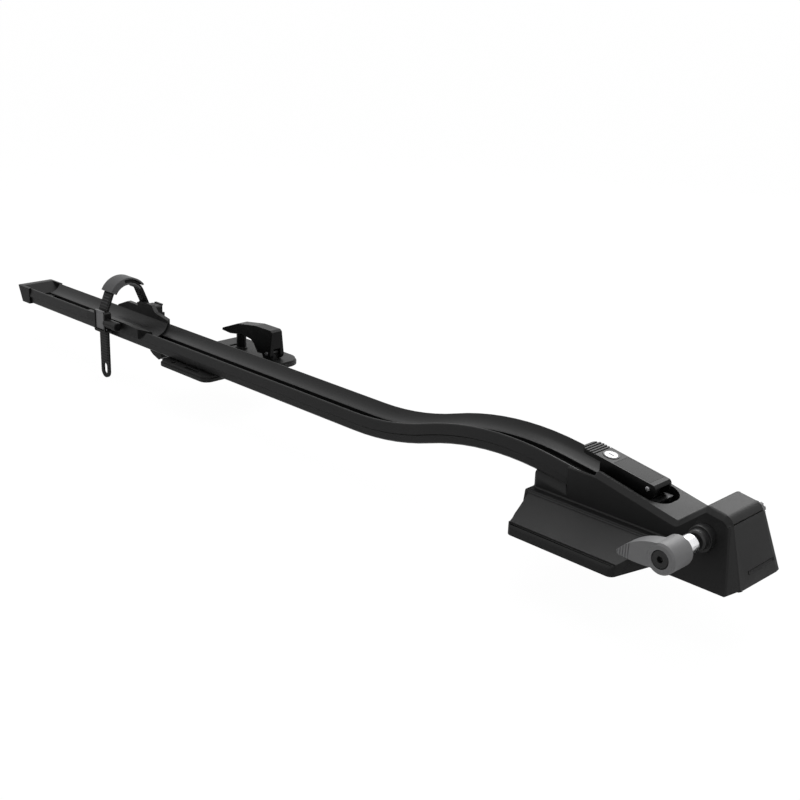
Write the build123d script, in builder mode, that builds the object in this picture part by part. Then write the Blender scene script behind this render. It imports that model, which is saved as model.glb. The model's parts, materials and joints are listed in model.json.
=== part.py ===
from build123d import *
import os
from math import acos, cos, degrees, radians, sin, sqrt, tan

os.makedirs("parts", exist_ok=True)

# A one-sided roof carrier that holds a bike by its fork. X runs along the carrier to the nose,
# Z is up, and the origin is the centre of the front crossbar seat, on top of the bar.

# Shared gaps
running_gap = 0.3      # between pieces that move past each other
seat_gap = 0.15        # between fixed pieces that lie against each other
shaft_gap = 0.06       # round a pin or a shaft, on the radius
overrun = 6            # what a cut passes its faces by
half_turn = 180        # degrees

# Wheel tray extrusion
tray_width = 58.3
tray_height = 23.5
tray_wall = 1.9
tray_slot_width = 9.0      # mouth of the T slots
tray_cavity_width = 15.0   # inside of the T slots
tray_cavity_height = 3.2
tray_rim_width = 1.8
tray_facet_inset = 2.2     # how far the outer foot stands in from the widest line
tray_groove_depth = 1.2    # groove between the two outer facets
tray_groove_width = 1.3
tray_groove_share = 0.42   # height of that groove up the tray's side
tray_sag = 4.0             # how hollow the trough's walls are
chamber_middle_share = 0.5 # where the ceiling of the tray's side chambers dips, across and up
chamber_dip_share = 0.2

# Rear foot plate, which sets how high the tray lies over the bars
plate_thickness = 9.0
plate_near_reach = 43.0    # from the centre to the near edge
plate_far_reach = 118.0    # from the centre to the far edge
plate_near_length = 110.0
plate_far_length = 150.0
plate_step = 1.8           # how far the upper layer stands in from the lower

# Tray path, and what stands along it
tail_reach = 1148.0        # seat centre to the tail
cap_length = 35.0
bend_radius = 377.0
bend_fall = 8.0            # degrees, down into the head
tray_end_run = 56.0        # straight run inside the head
tray_end_x = -14.83        # where the tray ends inside the head
tray_inset = 0.21          # its rim under the collar's top, where that straight run begins
cradle_place = 206.0       # from the tail to the cradle's rear end
cradle_length = 164.0
rear_foot_place = 253.0    # from there to the middle of the rear foot

# Head
head_rear_x = -86.0
collar_rear_x = -46.0      # where the cheeks begin to hold the tray
collar_front_x = -5.0
collar_height = 68.0
valley_x = 88.0            # the V between the lever deck and the nose
valley_height = 48.3
nose_back_x = 117.5
nose_top_height = 74.0
nose_front_x = 144.0
nose_front_height = 70.0
nose_foot_x = 162.0
head_wall = 3.0
head_rib = 5.0             # width of the bevelled band along the top edges
deck_half_width = 31.5
foot_half_width = 46.5     # body sides at their foot
plinth_half_width = 42.0   # ledge at the top of the plinth
plinth_height = 29.0
head_clear = 1.0           # underside of the shell above the bars

# Wings that rest along the crossbar
wing_reach = 94.5
wing_rim_height = 13.0
wing_root_height = 27.0
wing_root_y = 43.0
wing_front_x = 64.0
wing_rear_x = -64.0
wing_root_front_x = 78.0
wing_root_rear_x = -82.0
wing_bevel = 3.0
pad_thickness = 5.0
pad_inset = 3.5

# Fork clamp
axle_x = 121.5
axle_height = 45.6
fork_spacing = 100.0       # between the inner faces of the fork ends
boss_diameter = 26.0
stub_diameter = 9.0
stub_length = 5.0          # what stands out of each boss for the fork end
rod_diameter = 5.0
fork_gap = 7.0             # from a boss to the clamping collar, when open
collar_diameter = 20.0
collar_length = 19.0
cam_diameter = 30.5
cam_length = 30.0
cam_bolt_diameter = 18.0
cam_bolt_height = 7.0
hex_socket = 6.0
blade_length = 48.0        # from the axle to the tip of the blade
nut_diameter = 15.0
nut_length = 8.5

# Front clamp lever
lever_pin_x = 43.5
lever_pin_height = 63.0
lever_pin_diameter = 5.0
lever_half_width = 14.0
lever_wall = 3.0
lever_web = 1.1            # skin of the lever's top
lever_tip_x = -42.0
lever_skirt_x = -15.0
lever_deck_height = 68.9   # top of the lever over its pin
lever_back_height = 76.0   # top of the lever at the end of its name plate
cam_radius = 10.0
cam_offset = 2.0
cam_lean = 40.0            # degrees between the cam's offset and straight down
cam_seat_thickness = 2.5
well_half_width = 23.0
well_front_x = 66.0
well_floor_height = 32.0
lock_x = -12.0
lock_diameter = 17.5
lock_depth = 12.0
core_diameter = 14.0

# Hooks that go round the crossbars
hook_thickness = 3.0
front_hook_width = 18.0
front_bar_depth = 29.0
front_hook_x = 31.0        # inner face of the hook's shank
front_hook_tip_x = -38.0
rear_hook_width = 12.0
rear_bar_depth = 31.0
rear_bar_half_width = 42.0

# Rear lever
rear_lever_y = 82.0
rear_pin_x = 46.0          # from the foot's centre towards the nose
rear_pin_diameter = 5.0
rear_cam_radius = 8.8
rear_cam_offset = 1.9
rear_lever_width = 25.0
rear_tip_reach = 103.0     # from the pin to the tip
rear_post_reach = 72.0     # from the pin to the post
rear_post_diameter = 11.0

# Wheel cradle and its strap
strap_place = 53.0         # from the cradle's rear end to the middle of the strap
strap_width = 21.0
strap_thickness = 3.2
strap_tooth = 1.3
strap_leg_reach = 35.5     # from the arch's middle to each leg
strap_arch_radius = 28.0
strap_arch_y = 0.8         # the arch's middle lies a little to the far side
strap_leg_height = 43.0    # where the legs begin to lean in
strap_lean = 23.0          # degrees that they lean
strap_bend = 16.0
strap_tail_depth = 56.0    # how far the loose end hangs below the bars' top
pad_sleeve_gap = 0.35
pad_sleeve_wall = 2.6


def fill(points, mode=Mode.ADD):
    """Fills the closed outline through the given points, where they stand."""
    Polygon(*points, align=None, mode=mode)


def scaled(shares, corner, size):
    """Places an outline given in shares of a size, from one corner."""
    return [(corner[0] + a * size[0], corner[1] + b * size[1]) for a, b in shares]


def save(piece, label):
    """Names a finished piece and writes it."""
    piece.part.label = label
    export_step(piece.part, f"parts/{label}.step")


# Places on the tray's path, at mid height
tray_mid = plate_thickness + tray_height / 2
tray_rear_x = cap_length - tail_reach
fall_x = tray_end_x - tray_end_run * cos(radians(bend_fall))
fall_mid = collar_height - tray_inset - tray_height / 2
crest_x = fall_x - bend_radius * sin(radians(bend_fall))
crest_mid = fall_mid + bend_radius * (1 - cos(radians(bend_fall)))
bend_turn = degrees(acos(1 - (crest_mid - tray_mid) / (2 * bend_radius)))
bend_start_x = crest_x - 2 * bend_radius * sin(radians(bend_turn))
cradle_rear_x = cradle_place - tail_reach
cradle_front_x = cradle_rear_x + cradle_length
strap_x = cradle_rear_x + strap_place
rear_foot_x = cradle_rear_x + rear_foot_place


def tray_line(x, above_mid):
    """Height of a line along the tray, past its crest, at a distance from mid height."""
    radius = bend_radius + above_mid
    if x < crest_x + radius * sin(radians(bend_fall)):
        return crest_mid - bend_radius + sqrt(radius ** 2 - (x - crest_x) ** 2)
    straight = fall_mid - (x - fall_x) * tan(radians(bend_fall))
    return straight + above_mid / cos(radians(bend_fall))


with BuildLine(Plane.XZ) as tray_path:
    level = Line((tray_rear_x, tray_mid), (bend_start_x, tray_mid))
    rise = JernArc(start=level @ 1, tangent=level % 1, radius=bend_radius, arc_size=bend_turn)
    fall = JernArc(start=rise @ 1, tangent=rise % 1, radius=bend_radius,
                   arc_size=-(bend_turn + bend_fall))
    Line(fall @ 1, fall @ 1 + (fall % 1) * tray_end_run)

# Heights in the tray's section
half = tray_width / 2
under_cavity = plate_thickness + tray_wall
upper_cavity = under_cavity + tray_cavity_height + tray_wall
trough_floor = upper_cavity + tray_cavity_height + tray_wall
groove_height = plate_thickness + tray_height * tray_groove_share
rim_height = plate_thickness + tray_height
foot_half = half - tray_facet_inset
slot_half = tray_slot_width / 2
rim_inner = half - tray_facet_inset - tray_rim_width


def trough_arc(shift):
    """The hollow wall of the trough from its slot to the rim, moved down by a shift."""
    low = (slot_half, trough_floor - shift)
    high = (rim_inner, rim_height - shift)
    mid = ((low[0] + high[0]) / 2, (low[1] + high[1]) / 2)
    run, climb = high[0] - low[0], high[1] - low[1]
    span = sqrt(run ** 2 + climb ** 2)
    bulge = (mid[0] + tray_sag * climb / span, mid[1] - tray_sag * run / span)
    ThreePointArc(high, bulge, low)


def tray_outer():
    """The outer side of the tray's section, from the middle of its underside to the rim."""
    ledge = foot_half - tray_groove_depth
    return [
        (foot_half - tray_wall, plate_thickness),
        (foot_half, plate_thickness + tray_wall),
        (foot_half, groove_height),
        (ledge, groove_height),
        (ledge, groove_height + tray_groove_width),
        (half, groove_height + tray_groove_width),
        (rim_inner + tray_rim_width, rim_height - tray_wall / 2),
        (rim_inner + tray_rim_width / 2, rim_height),
        (rim_inner, rim_height),
    ]


with BuildPart() as wheel_tray:
    with BuildSketch(Plane.YZ.offset(tray_rear_x)):
        with BuildLine():
            Polyline((0, plate_thickness), *tray_outer())
            trough_arc(0)
            Polyline((slot_half, trough_floor), (0, trough_floor), (0, plate_thickness))
        make_face()
        with BuildSketch(mode=Mode.PRIVATE) as chamber:
            side = foot_half - tray_groove_depth - tray_wall
            inner = tray_cavity_width / 2 + tray_wall
            with BuildLine():
                Polyline(
                    (inner, under_cavity),
                    (side, under_cavity),
                    (side, rim_height - 3 * tray_wall),
                )
                ThreePointArc(
                    (side, rim_height - 3 * tray_wall),
                    (
                        inner + (side - inner) * chamber_middle_share,
                        trough_floor + tray_wall * chamber_dip_share,
                    ),
                    (inner, upper_cavity + tray_cavity_height - tray_wall),
                )
                Line((inner, upper_cavity + tray_cavity_height - tray_wall), (inner, under_cavity))
            make_face()
        add(chamber.sketch, mode=Mode.SUBTRACT)
        mirror(about=Plane.YZ)
        for floor in (under_cavity, upper_cavity):
            with Locations((0, floor + tray_cavity_height / 2)):
                Rectangle(tray_cavity_width, tray_cavity_height, mode=Mode.SUBTRACT)
        for floor in (plate_thickness, trough_floor - tray_wall):
            with Locations((0, floor + tray_wall / 2)):
                Rectangle(tray_slot_width, tray_wall, mode=Mode.SUBTRACT)
    sweep(path=tray_path.wire())
save(wheel_tray, "wheel_tray")


# Tail end cap, with a sloping ramp down into the trough
cap_skin = 0.8             # how far the cap stands out over the tray
cap_lean = 11.0            # the end face leans in towards its foot
cap_top_run = 13.0         # flat part of the top before the ramp
cap_tongue_length = 18.0   # tongue in the tray's slot
cap_corner = 3.0
cap_half = half + cap_skin

with BuildPart() as tray_end_cap:
    with BuildSketch(Plane.XZ):
        fill([
            (-tail_reach + cap_lean, plate_thickness - cap_skin),
            (tray_rear_x, plate_thickness - cap_skin),
            (tray_rear_x, rim_height + cap_skin),
            (-tail_reach, rim_height + cap_skin),
        ])
    extrude(amount=cap_half, both=True)
    end_face = tray_end_cap.faces().sort_by(Axis.X)[0]
    fillet(end_face.edges().filter_by(Axis.Y, reverse=True), cap_corner)
    with BuildSketch(Plane.XZ):
        fill([
            (-tail_reach + cap_top_run, rim_height + cap_skin),
            (tray_rear_x, trough_floor),
            (tray_rear_x + overrun, trough_floor),
            (tray_rear_x + overrun, rim_height + overrun),
            (-tail_reach + cap_top_run, rim_height + overrun),
        ])
    extrude(amount=rim_inner, both=True, mode=Mode.SUBTRACT)
    chamfer(tray_end_cap.edges().group_by(Axis.X)[0], length=cap_skin)
    chamfer(tray_end_cap.edges().filter_by(Axis.X).group_by(Axis.Z)[-1].sort_by(Axis.Y)[0], cap_skin)
    chamfer(tray_end_cap.edges().filter_by(Axis.X).group_by(Axis.Z)[-1].sort_by(Axis.Y)[-1], cap_skin)
    with BuildSketch(Plane.YZ.offset(tray_rear_x)):
        with Locations((0, upper_cavity + tray_cavity_height / 2)):
            Rectangle(tray_cavity_width - 2 * seat_gap, tray_cavity_height - 2 * seat_gap)
    extrude(amount=cap_tongue_length)
save(tray_end_cap, "tray_end_cap")


def corner(sketch, x, y):
    """The corner of a sketch nearest to a place in it."""
    return sketch.vertices().sort_by_distance((x, y))[0]


# Head forms: a deck with cheeks round the tray, a drafted nose, a plinth and two wings
valley_round = 4.0
nose_back_round = 7.0
nose_front_round = 11.0
plinth_front_x = 104.0
plinth_round = 1.2
collar_round = 15.0
collar_rear_round = 6.0    # more than the band's width, so that the band can run round it
flank_rear_foot_x = 98.0   # where the nose's flanks begin, at their foot
flank_rear_top_x = 112.0   # and at their top
flank_height = 62.5
wing_corner = 7.0
facet_near = 19.0          # from the middle to the front face's near crease, at the foot
facet_far = 38.0           # and to its far crease
facet_slope = 0.165        # how fast the facets fall back from the creases
wing_hollow_share = 0.4    # height of the wings' top at mid span, between rim and root

under_rear = tray_line(head_rear_x, -tray_height / 2) - seat_gap
under_collar = tray_line(collar_rear_x, -tray_height / 2) - seat_gap
deck_outline = [
    (head_rear_x, under_rear),
    (collar_rear_x, under_collar),
    (collar_rear_x, collar_height),
    (collar_front_x, collar_height),
    (valley_x, valley_height),
    (nose_back_x, nose_top_height),
    (nose_front_x, nose_front_height),
    (nose_foot_x, head_clear),
    (head_rear_x, head_clear),
]


def deck_side():
    """Sketches the head's side outline with its bends rounded."""
    with BuildSketch(Plane.XZ) as side:
        fill(deck_outline)
        fillet(corner(side, valley_x, valley_height), valley_round)
        fillet(corner(side, nose_back_x, nose_top_height), nose_back_round)
        fillet(corner(side, nose_front_x, nose_front_height), nose_front_round)
        fillet(corner(side, collar_rear_x, collar_height), collar_rear_round)
        fillet(corner(side, collar_front_x, collar_height), collar_round)
    return side


deck_flat = deck_half_width - head_rib
front_slope = (nose_foot_x - nose_front_x) / (nose_front_height - head_clear)


def nose_face_x(z):
    """Where the front face stands at a height."""
    return nose_foot_x - (z - head_clear) * front_slope


with BuildPart() as deck_form:
    side = deck_side()
    extrude(side.sketch, amount=deck_flat, both=True)
    for sign in (-1, 1):
        with BuildSketch(Plane.XZ.offset(sign * deck_flat)):
            add(side.sketch_local)
        extrude(amount=sign * head_rib, taper=45)


def flank_section(z, rear_x, half_width, near, far):
    """A level section of the nose, with its front corners set back."""
    front_x = nose_face_x(z)
    with BuildSketch(Plane.XY.offset(z)) as section:
        fill([
            (rear_x, half_width),
            (front_x - (half_width - far) * facet_slope, half_width),
            (front_x, far),
            (front_x, -near),
            (front_x - (half_width - near) * facet_slope, -half_width),
            (rear_x, -half_width),
        ])
    return section.sketch


with BuildPart() as nose_form:
    loft(
        [
            flank_section(head_clear, flank_rear_foot_x, foot_half_width, facet_near, facet_far),
            flank_section(flank_height, flank_rear_top_x, deck_half_width, deck_flat, deck_flat),
        ],
        ruled=True,
    )

with BuildPart() as plinth_form:
    with BuildSketch(Plane.YZ.offset(head_rear_x)):
        fill([
            (-foot_half_width, head_clear),
            (foot_half_width, head_clear),
            (plinth_half_width, plinth_height),
            (-plinth_half_width, plinth_height),
        ])
    extrude(amount=plinth_front_x - head_rear_x)
    chamfer(plinth_form.edges().filter_by(Axis.X).group_by(Axis.Z)[-1], plinth_round)


def wing_plan(inset):
    """The plan of one wing, moved in by an inset on its free edges."""
    side = wing_reach - inset
    fill([
        (wing_root_rear_x + inset, plinth_half_width - overrun),
        (wing_rear_x + inset, side),
        (wing_front_x - inset, side),
        (wing_root_front_x - inset, plinth_half_width - overrun),
    ])


with BuildPart() as wing_form:
    with BuildSketch(Plane.YZ.offset(wing_root_rear_x)):
        rim_y = wing_reach - wing_bevel
        with BuildLine():
            Polyline(
                (rim_y, wing_rim_height),
                (wing_reach, wing_rim_height - wing_bevel),
                (wing_reach, head_clear),
                (plinth_half_width - overrun, head_clear),
                (plinth_half_width - overrun, wing_root_height),
                (wing_root_y, wing_root_height),
            )
            ThreePointArc(
                (wing_root_y, wing_root_height),
                (wing_root_y + (rim_y - wing_root_y) / 2,
                 wing_rim_height + (wing_root_height - wing_rim_height) * wing_hollow_share),
                (rim_y, wing_rim_height),
            )
        make_face()
    extrude(amount=wing_root_front_x - wing_root_rear_x)
    with BuildSketch() as plan:
        wing_plan(0)
        fillet(corner(plan, wing_rear_x, wing_reach), wing_corner)
        fillet(corner(plan, wing_front_x, wing_reach), wing_corner)
    extrude(amount=wing_root_height + overrun, mode=Mode.INTERSECT)
    with BuildSketch():
        wing_plan(pad_inset - seat_gap)
    extrude(amount=pad_thickness, mode=Mode.SUBTRACT)


# Hollows of the head
tray_stop_gap = 0.5        # between the tray's end and the head's stop wall
stop_wall_height = 50.0
axle_rib_radius = 8.0      # web round the axle tube inside the nose
well_end_round = 19.0
front_slot_height = 14.0
front_slot_width = 2.6
front_slot_depth = 1.2
front_slot_length = 46.0
front_slot_shift = 3.5
boss_seat_y = 33.0         # depth that the fork bosses are let into the nose
base_thickness = 3.0
hook_slot_rear_x = 26.5
hook_slot_front_x = 44.0
hook_slot_width = front_hook_width + 4 * seat_gap
base_screw_diameter = 3.5
base_screw_head = 7.0
base_screw_length = 14.0
tray_bolt_places = (-66.0, -33.0)
tray_bolt_diameter = 6.0
tray_nut_width = 10.0      # across the flats
tray_nut_height = 5.0
post_diameter = 9.0
base_screw_y = 22.0
base_screw_places = [
    (x, sign * base_screw_y) for x in (head_rear_x + 2 * post_diameter, valley_x) for sign in (-1, 1)
]
pedestal_inner_y = 9.6
pedestal_outer_y = 16.0
pedestal_rear_x = 33.0
pedestal_front_x = 55.0

cam_seat_drop = cam_radius + cam_offset * cos(radians(cam_lean)) + running_gap
seat_top = lever_pin_height - cam_seat_drop
inner_rear_x = head_rear_x + head_wall
tray_stop_x = tray_end_x + tray_height / 2 * sin(radians(bend_fall)) + tray_stop_gap
stop_front_x = tray_stop_x + head_wall


def above_bottom(x):
    """Underside of the skin that carries the tray."""
    return tray_line(x, -tray_height / 2) - 2 * head_wall


def tray_seat_plane(x):
    """A plane on the tray's underside inside the head, square to the tray."""
    lean = radians(bend_fall)
    return Plane(
        origin=(x, 0, tray_line(x, -tray_height / 2)),
        x_dir=(cos(lean), 0, -sin(lean)),
        z_dir=(sin(lean), 0, cos(lean)),
    )


with BuildPart() as head_hollow:
    with BuildSketch(Plane.XZ):
        fill([
            (inner_rear_x, head_clear - overrun),
            (inner_rear_x, above_bottom(inner_rear_x)),
            (tray_stop_x, above_bottom(tray_stop_x)),
            (tray_stop_x, well_floor_height - head_wall),
            (well_front_x + head_wall, well_floor_height - head_wall),
            (well_front_x + head_wall, valley_height - head_wall),
            (valley_x, valley_height - 2 * head_wall),
            (nose_back_x + head_wall, nose_top_height - 2 * head_wall),
            (nose_front_x - 2 * head_wall, nose_front_height - 2 * head_wall),
            (nose_foot_x - 2 * head_wall, head_clear - overrun),
        ])
    extrude(amount=deck_flat - head_wall / 2, both=True)
    with BuildSketch(Plane.XZ):
        with Locations((inner_rear_x, head_clear - overrun)):
            Rectangle(
                plinth_front_x - head_wall - inner_rear_x,
                plinth_height - head_wall - head_clear + overrun,
                align=(Align.MIN, Align.MIN),
            )
    extrude(amount=plinth_half_width - head_wall, both=True)
    with Locations((axle_x, 0, axle_height)):
        Cylinder(axle_rib_radius, 2 * foot_half_width, rotation=(90, 0, 0), mode=Mode.SUBTRACT)
    with BuildSketch(Plane.XY.offset(head_clear + base_thickness + seat_gap)):
        with Locations(*base_screw_places):
            Circle(post_diameter / 2)
    extrude(amount=collar_height, mode=Mode.SUBTRACT)

with BuildPart() as head_shell:
    add(deck_form.part)
    add(nose_form.part)
    add(plinth_form.part)
    add(wing_form.part)
    mirror(wing_form.part, about=Plane.XZ)
    add(head_hollow.part, mode=Mode.SUBTRACT)
    # room for the tray, open at the top
    with BuildSketch(Plane.XZ):
        fill([
            (head_rear_x - overrun, tray_line(head_rear_x - overrun, -tray_height / 2) - seat_gap),
            (head_rear_x, under_rear),
            (collar_rear_x, under_collar),
            (tray_stop_x, tray_line(tray_stop_x, -tray_height / 2) - seat_gap),
            (tray_stop_x, stop_wall_height),
            (stop_front_x + seat_gap, stop_wall_height),
            (stop_front_x + seat_gap, collar_height + overrun),
            (head_rear_x - overrun, collar_height + overrun),
        ])
    extrude(amount=half + seat_gap, both=True, mode=Mode.SUBTRACT)
    # the well round the clamp lever
    with BuildSketch(Plane.XY.offset(well_floor_height)) as well_plan:
        with Locations((stop_front_x, 0)):
            Rectangle(well_front_x - stop_front_x, 2 * well_half_width, align=(Align.MIN, Align.CENTER))
        fillet(corner(well_plan, well_front_x, well_half_width), well_end_round)
        fillet(corner(well_plan, well_front_x, -well_half_width), well_end_round)
    extrude(amount=collar_height, mode=Mode.SUBTRACT)
    for sign in (-1, 1):
        with BuildSketch(Plane.XY.offset(well_floor_height - head_wall)):
            with Locations((pedestal_rear_x, sign * (pedestal_inner_y + pedestal_outer_y) / 2)):
                Rectangle(
                    pedestal_front_x - pedestal_rear_x,
                    pedestal_outer_y - pedestal_inner_y,
                    align=(Align.MIN, Align.CENTER),
                )
        extrude(amount=seat_top - cam_seat_thickness - seat_gap - well_floor_height + head_wall)
    # slot for the hook, seats for the fork bosses and the bore of the axle tube
    with BuildSketch():
        with Locations(((hook_slot_rear_x + hook_slot_front_x) / 2, 0)):
            Rectangle(hook_slot_front_x - hook_slot_rear_x, hook_slot_width)
    extrude(amount=well_floor_height + overrun, mode=Mode.SUBTRACT)
    for sign in (-1, 1):
        with BuildSketch(Plane.XZ.offset(-sign * boss_seat_y)):
            with Locations((axle_x, axle_height)):
                Circle(boss_diameter / 2 + seat_gap)
        extrude(amount=-sign * foot_half_width, mode=Mode.SUBTRACT)
    with Locations((axle_x, 0, axle_height)):
        Cylinder(
            stub_diameter / 2 + shaft_gap, 2 * foot_half_width, rotation=(90, 0, 0), mode=Mode.SUBTRACT
        )
    # the shallow slot low on the front face
    with BuildSketch(Plane.YZ.offset(nose_face_x(front_slot_height) - front_slot_depth)):
        with Locations(((facet_far - facet_near) / 2 + front_slot_shift, front_slot_height)):
            Rectangle(front_slot_length, front_slot_width)
    extrude(amount=overrun, mode=Mode.SUBTRACT)
    # bores for the screws and bolts
    with BuildSketch(Plane.XY.offset(head_clear)):
        with Locations(*base_screw_places):
            Circle(base_screw_diameter / 2 + shaft_gap)
    extrude(amount=base_screw_length + seat_gap, mode=Mode.SUBTRACT)
    for place in tray_bolt_places:
        with BuildSketch(tray_seat_plane(place)):
            Circle(tray_bolt_diameter / 2 + seat_gap)
        extrude(amount=-3 * head_wall, mode=Mode.SUBTRACT)
save(head_shell, "head_shell")


# Base plate that closes the head, with its screws
base_front_x = nose_foot_x - 3 * head_wall
with BuildPart() as head_base:
    with BuildSketch(Plane.XY.offset(head_clear)):
        rear = inner_rear_x + seat_gap
        with Locations((rear, 0)):
            Rectangle(
                plinth_front_x - head_wall - seat_gap - rear,
                2 * (plinth_half_width - head_wall - seat_gap),
                align=(Align.MIN, Align.CENTER),
            )
            Rectangle(
                base_front_x - rear,
                2 * (deck_flat - head_wall / 2 - seat_gap),
                align=(Align.MIN, Align.CENTER),
            )
        with Locations(((hook_slot_rear_x + hook_slot_front_x) / 2, 0)):
            Rectangle(hook_slot_front_x - hook_slot_rear_x, hook_slot_width, mode=Mode.SUBTRACT)
    extrude(amount=base_thickness)
    with Locations(*[Location((x, y, head_clear), (half_turn, 0, 0)) for x, y in base_screw_places]):
        CounterSinkHole(
            base_screw_diameter / 2 + shaft_gap, base_screw_head / 2 + shaft_gap, depth=base_thickness
        )
save(head_base, "head_base")

with BuildPart() as base_screws:
    with BuildSketch(Plane.XY.offset(head_clear)):
        with Locations(*base_screw_places):
            Circle(base_screw_diameter / 2)
    extrude(amount=base_screw_length)
    for x, y in base_screw_places:
        with Locations((x, y, head_clear)):
            Cone(
                base_screw_head / 2,
                base_screw_diameter / 2,
                (base_screw_head - base_screw_diameter) / 2,
                align=(Align.CENTER, Align.CENTER, Align.MIN),
            )
save(base_screws, "base_screws")


# Rubber pads under the wings
pad_groove_width = 3.0
pad_groove_depth = 1.2
pad_groove_pitch = 12.0
pad_groove_count = 10

for sign, name in ((-1, "front_pad_near"), (1, "front_pad_far")):
    with BuildPart() as front_pad:
        with BuildSketch():
            wing_plan(pad_inset)
            with Locations((0, foot_half_width + seat_gap)):
                Rectangle(
                    2 * tail_reach,
                    overrun + foot_half_width,
                    align=(Align.CENTER, Align.MAX),
                    mode=Mode.SUBTRACT,
                )
            if sign < 0:
                mirror(about=Plane.XZ, mode=Mode.REPLACE)
        extrude(amount=pad_thickness - seat_gap)
        with BuildSketch():
            with GridLocations(pad_groove_pitch, 2 * wing_reach, pad_groove_count, 2):
                Rectangle(pad_groove_width, 2 * wing_reach)
        extrude(amount=pad_groove_depth, mode=Mode.SUBTRACT)
    save(front_pad, name)


# Bolts that hold the tray in the head
t_head_height = tray_cavity_height - 2 * seat_gap
t_head_width = tray_cavity_width - 4 * seat_gap
tray_nut_depth = 2 * head_wall + tray_nut_height + seat_gap

with BuildPart() as tray_bolts:
    for place in tray_bolt_places:
        with BuildSketch(tray_seat_plane(place).offset(tray_wall + seat_gap)):
            Rectangle(t_head_width, t_head_width)
        extrude(amount=t_head_height)
        with BuildSketch(tray_seat_plane(place).offset(tray_wall + seat_gap)):
            Circle(tray_bolt_diameter / 2)
        extrude(amount=-(tray_wall + tray_nut_depth + head_wall))
save(tray_bolts, "tray_bolts")

with BuildPart() as tray_nuts:
    for place in tray_bolt_places:
        with BuildSketch(tray_seat_plane(place).offset(-tray_nut_depth)):
            RegularPolygon(tray_nut_width / 2, 6, major_radius=False)
            Circle(tray_bolt_diameter / 2 + shaft_gap, mode=Mode.SUBTRACT)
        extrude(amount=tray_nut_height)
save(tray_nuts, "tray_nuts")


# Seat for the lever's cams
seat_slot_rear_x = 36.0
seat_slot_front_x = 46.5
with BuildPart() as cam_seat:
    with BuildSketch(Plane.XY.offset(seat_top)):
        with Locations((pedestal_rear_x, 0)):
            Rectangle(
                pedestal_front_x - pedestal_rear_x, 2 * pedestal_outer_y, align=(Align.MIN, Align.CENTER)
            )
        with Locations((seat_slot_rear_x, 0)):
            Rectangle(
                seat_slot_front_x - seat_slot_rear_x,
                hook_slot_width,
                align=(Align.MIN, Align.CENTER),
                mode=Mode.SUBTRACT,
            )
    extrude(amount=-cam_seat_thickness)
save(cam_seat, "cam_seat")


# Fork clamp: a tube through the nose, two bosses, and the skewer in it
boss_chamfer = 1.6
boss_ring_depth = 1.0
boss_step_y = 42.0         # where the bosses step down
boss_nose_diameter = 21.0
rod_play = 0.15
stub_end = fork_spacing / 2 + stub_length
clamp_face = fork_spacing / 2 + fork_gap
collar_end = clamp_face + collar_length
hub_face = collar_end + 2 * running_gap
hub_end = hub_face + cam_length
bolt_inner = hub_end - cam_bolt_height
stub_socket = stub_diameter + 4 * rod_play


def round_bar(diameter, start, length, mode=Mode.ADD):
    """A round on the skewer's axis, from one place across the carrier to another."""
    with Locations(Location((axle_x, start, axle_height), (-90, 0, 0))):
        Cylinder(diameter / 2, length, align=(Align.CENTER, Align.CENTER, Align.MIN), mode=mode)


with BuildPart() as axle_tube:
    round_bar(stub_diameter, -stub_end, 2 * stub_end)
    round_bar(rod_diameter + 2 * rod_play, -stub_end, 2 * stub_end, Mode.SUBTRACT)
save(axle_tube, "axle_tube")

for sign, name in ((-1, "fork_boss_near"), (1, "fork_boss_far")):
    with BuildPart() as fork_boss:
        face = fork_spacing / 2
        depth = face - boss_seat_y - seat_gap
        low = min(sign * face, sign * (face - depth))
        round_bar(boss_nose_diameter, low, depth)
        chamfer(fork_boss.edges().group_by(Axis.Y)[0 if sign < 0 else -1], boss_chamfer)
        root = boss_step_y - boss_seat_y - seat_gap
        round_bar(boss_diameter, min(sign * boss_step_y, sign * (boss_step_y - root)), root)
        round_bar(stub_diameter + 2 * shaft_gap, low, depth, Mode.SUBTRACT)
    save(fork_boss, name)

with BuildPart() as skewer_rod:
    round_bar(rod_diameter, -bolt_inner + seat_gap, bolt_inner - seat_gap + clamp_face + nut_length)
save(skewer_rod, "skewer_rod")

with BuildPart() as skewer_collar:
    round_bar(collar_diameter, -collar_end, collar_length)
    chamfer(skewer_collar.edges(), boss_ring_depth / 2)
    round_bar(stub_socket, -clamp_face - stub_length - 2 * running_gap, 2 * stub_length, Mode.SUBTRACT)
    round_bar(rod_diameter + 2 * shaft_gap, -collar_end, collar_length, Mode.SUBTRACT)
save(skewer_collar, "skewer_collar")

with BuildPart() as skewer_bolt:
    round_bar(cam_bolt_diameter, -hub_end, cam_bolt_height)
    chamfer(skewer_bolt.edges().group_by(Axis.Y)[0], boss_ring_depth)
    with BuildSketch(Plane.XZ.offset(hub_end)):
        with Locations((axle_x, axle_height)):
            RegularPolygon(hex_socket / 2, 6, major_radius=False)
    extrude(amount=-(cam_bolt_height - boss_chamfer), mode=Mode.SUBTRACT)
save(skewer_bolt, "skewer_bolt")

nut_notch_count = 8
nut_notch_width = 2.2
with BuildPart() as skewer_nut:
    round_bar(nut_diameter, clamp_face, nut_length)
    with BuildSketch(Plane.XZ.offset(-clamp_face - nut_length / 4)):
        with Locations((axle_x, axle_height)):
            with PolarLocations(nut_diameter / 2, nut_notch_count):
                Rectangle(2 * boss_ring_depth, nut_notch_width)
    extrude(amount=-nut_length, mode=Mode.SUBTRACT)
    round_bar(stub_socket, clamp_face - stub_length, 2 * stub_length + 2 * running_gap, Mode.SUBTRACT)
    round_bar(rod_diameter + 2 * shaft_gap, clamp_face, nut_length, Mode.SUBTRACT)
save(skewer_nut, "skewer_nut")

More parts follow.
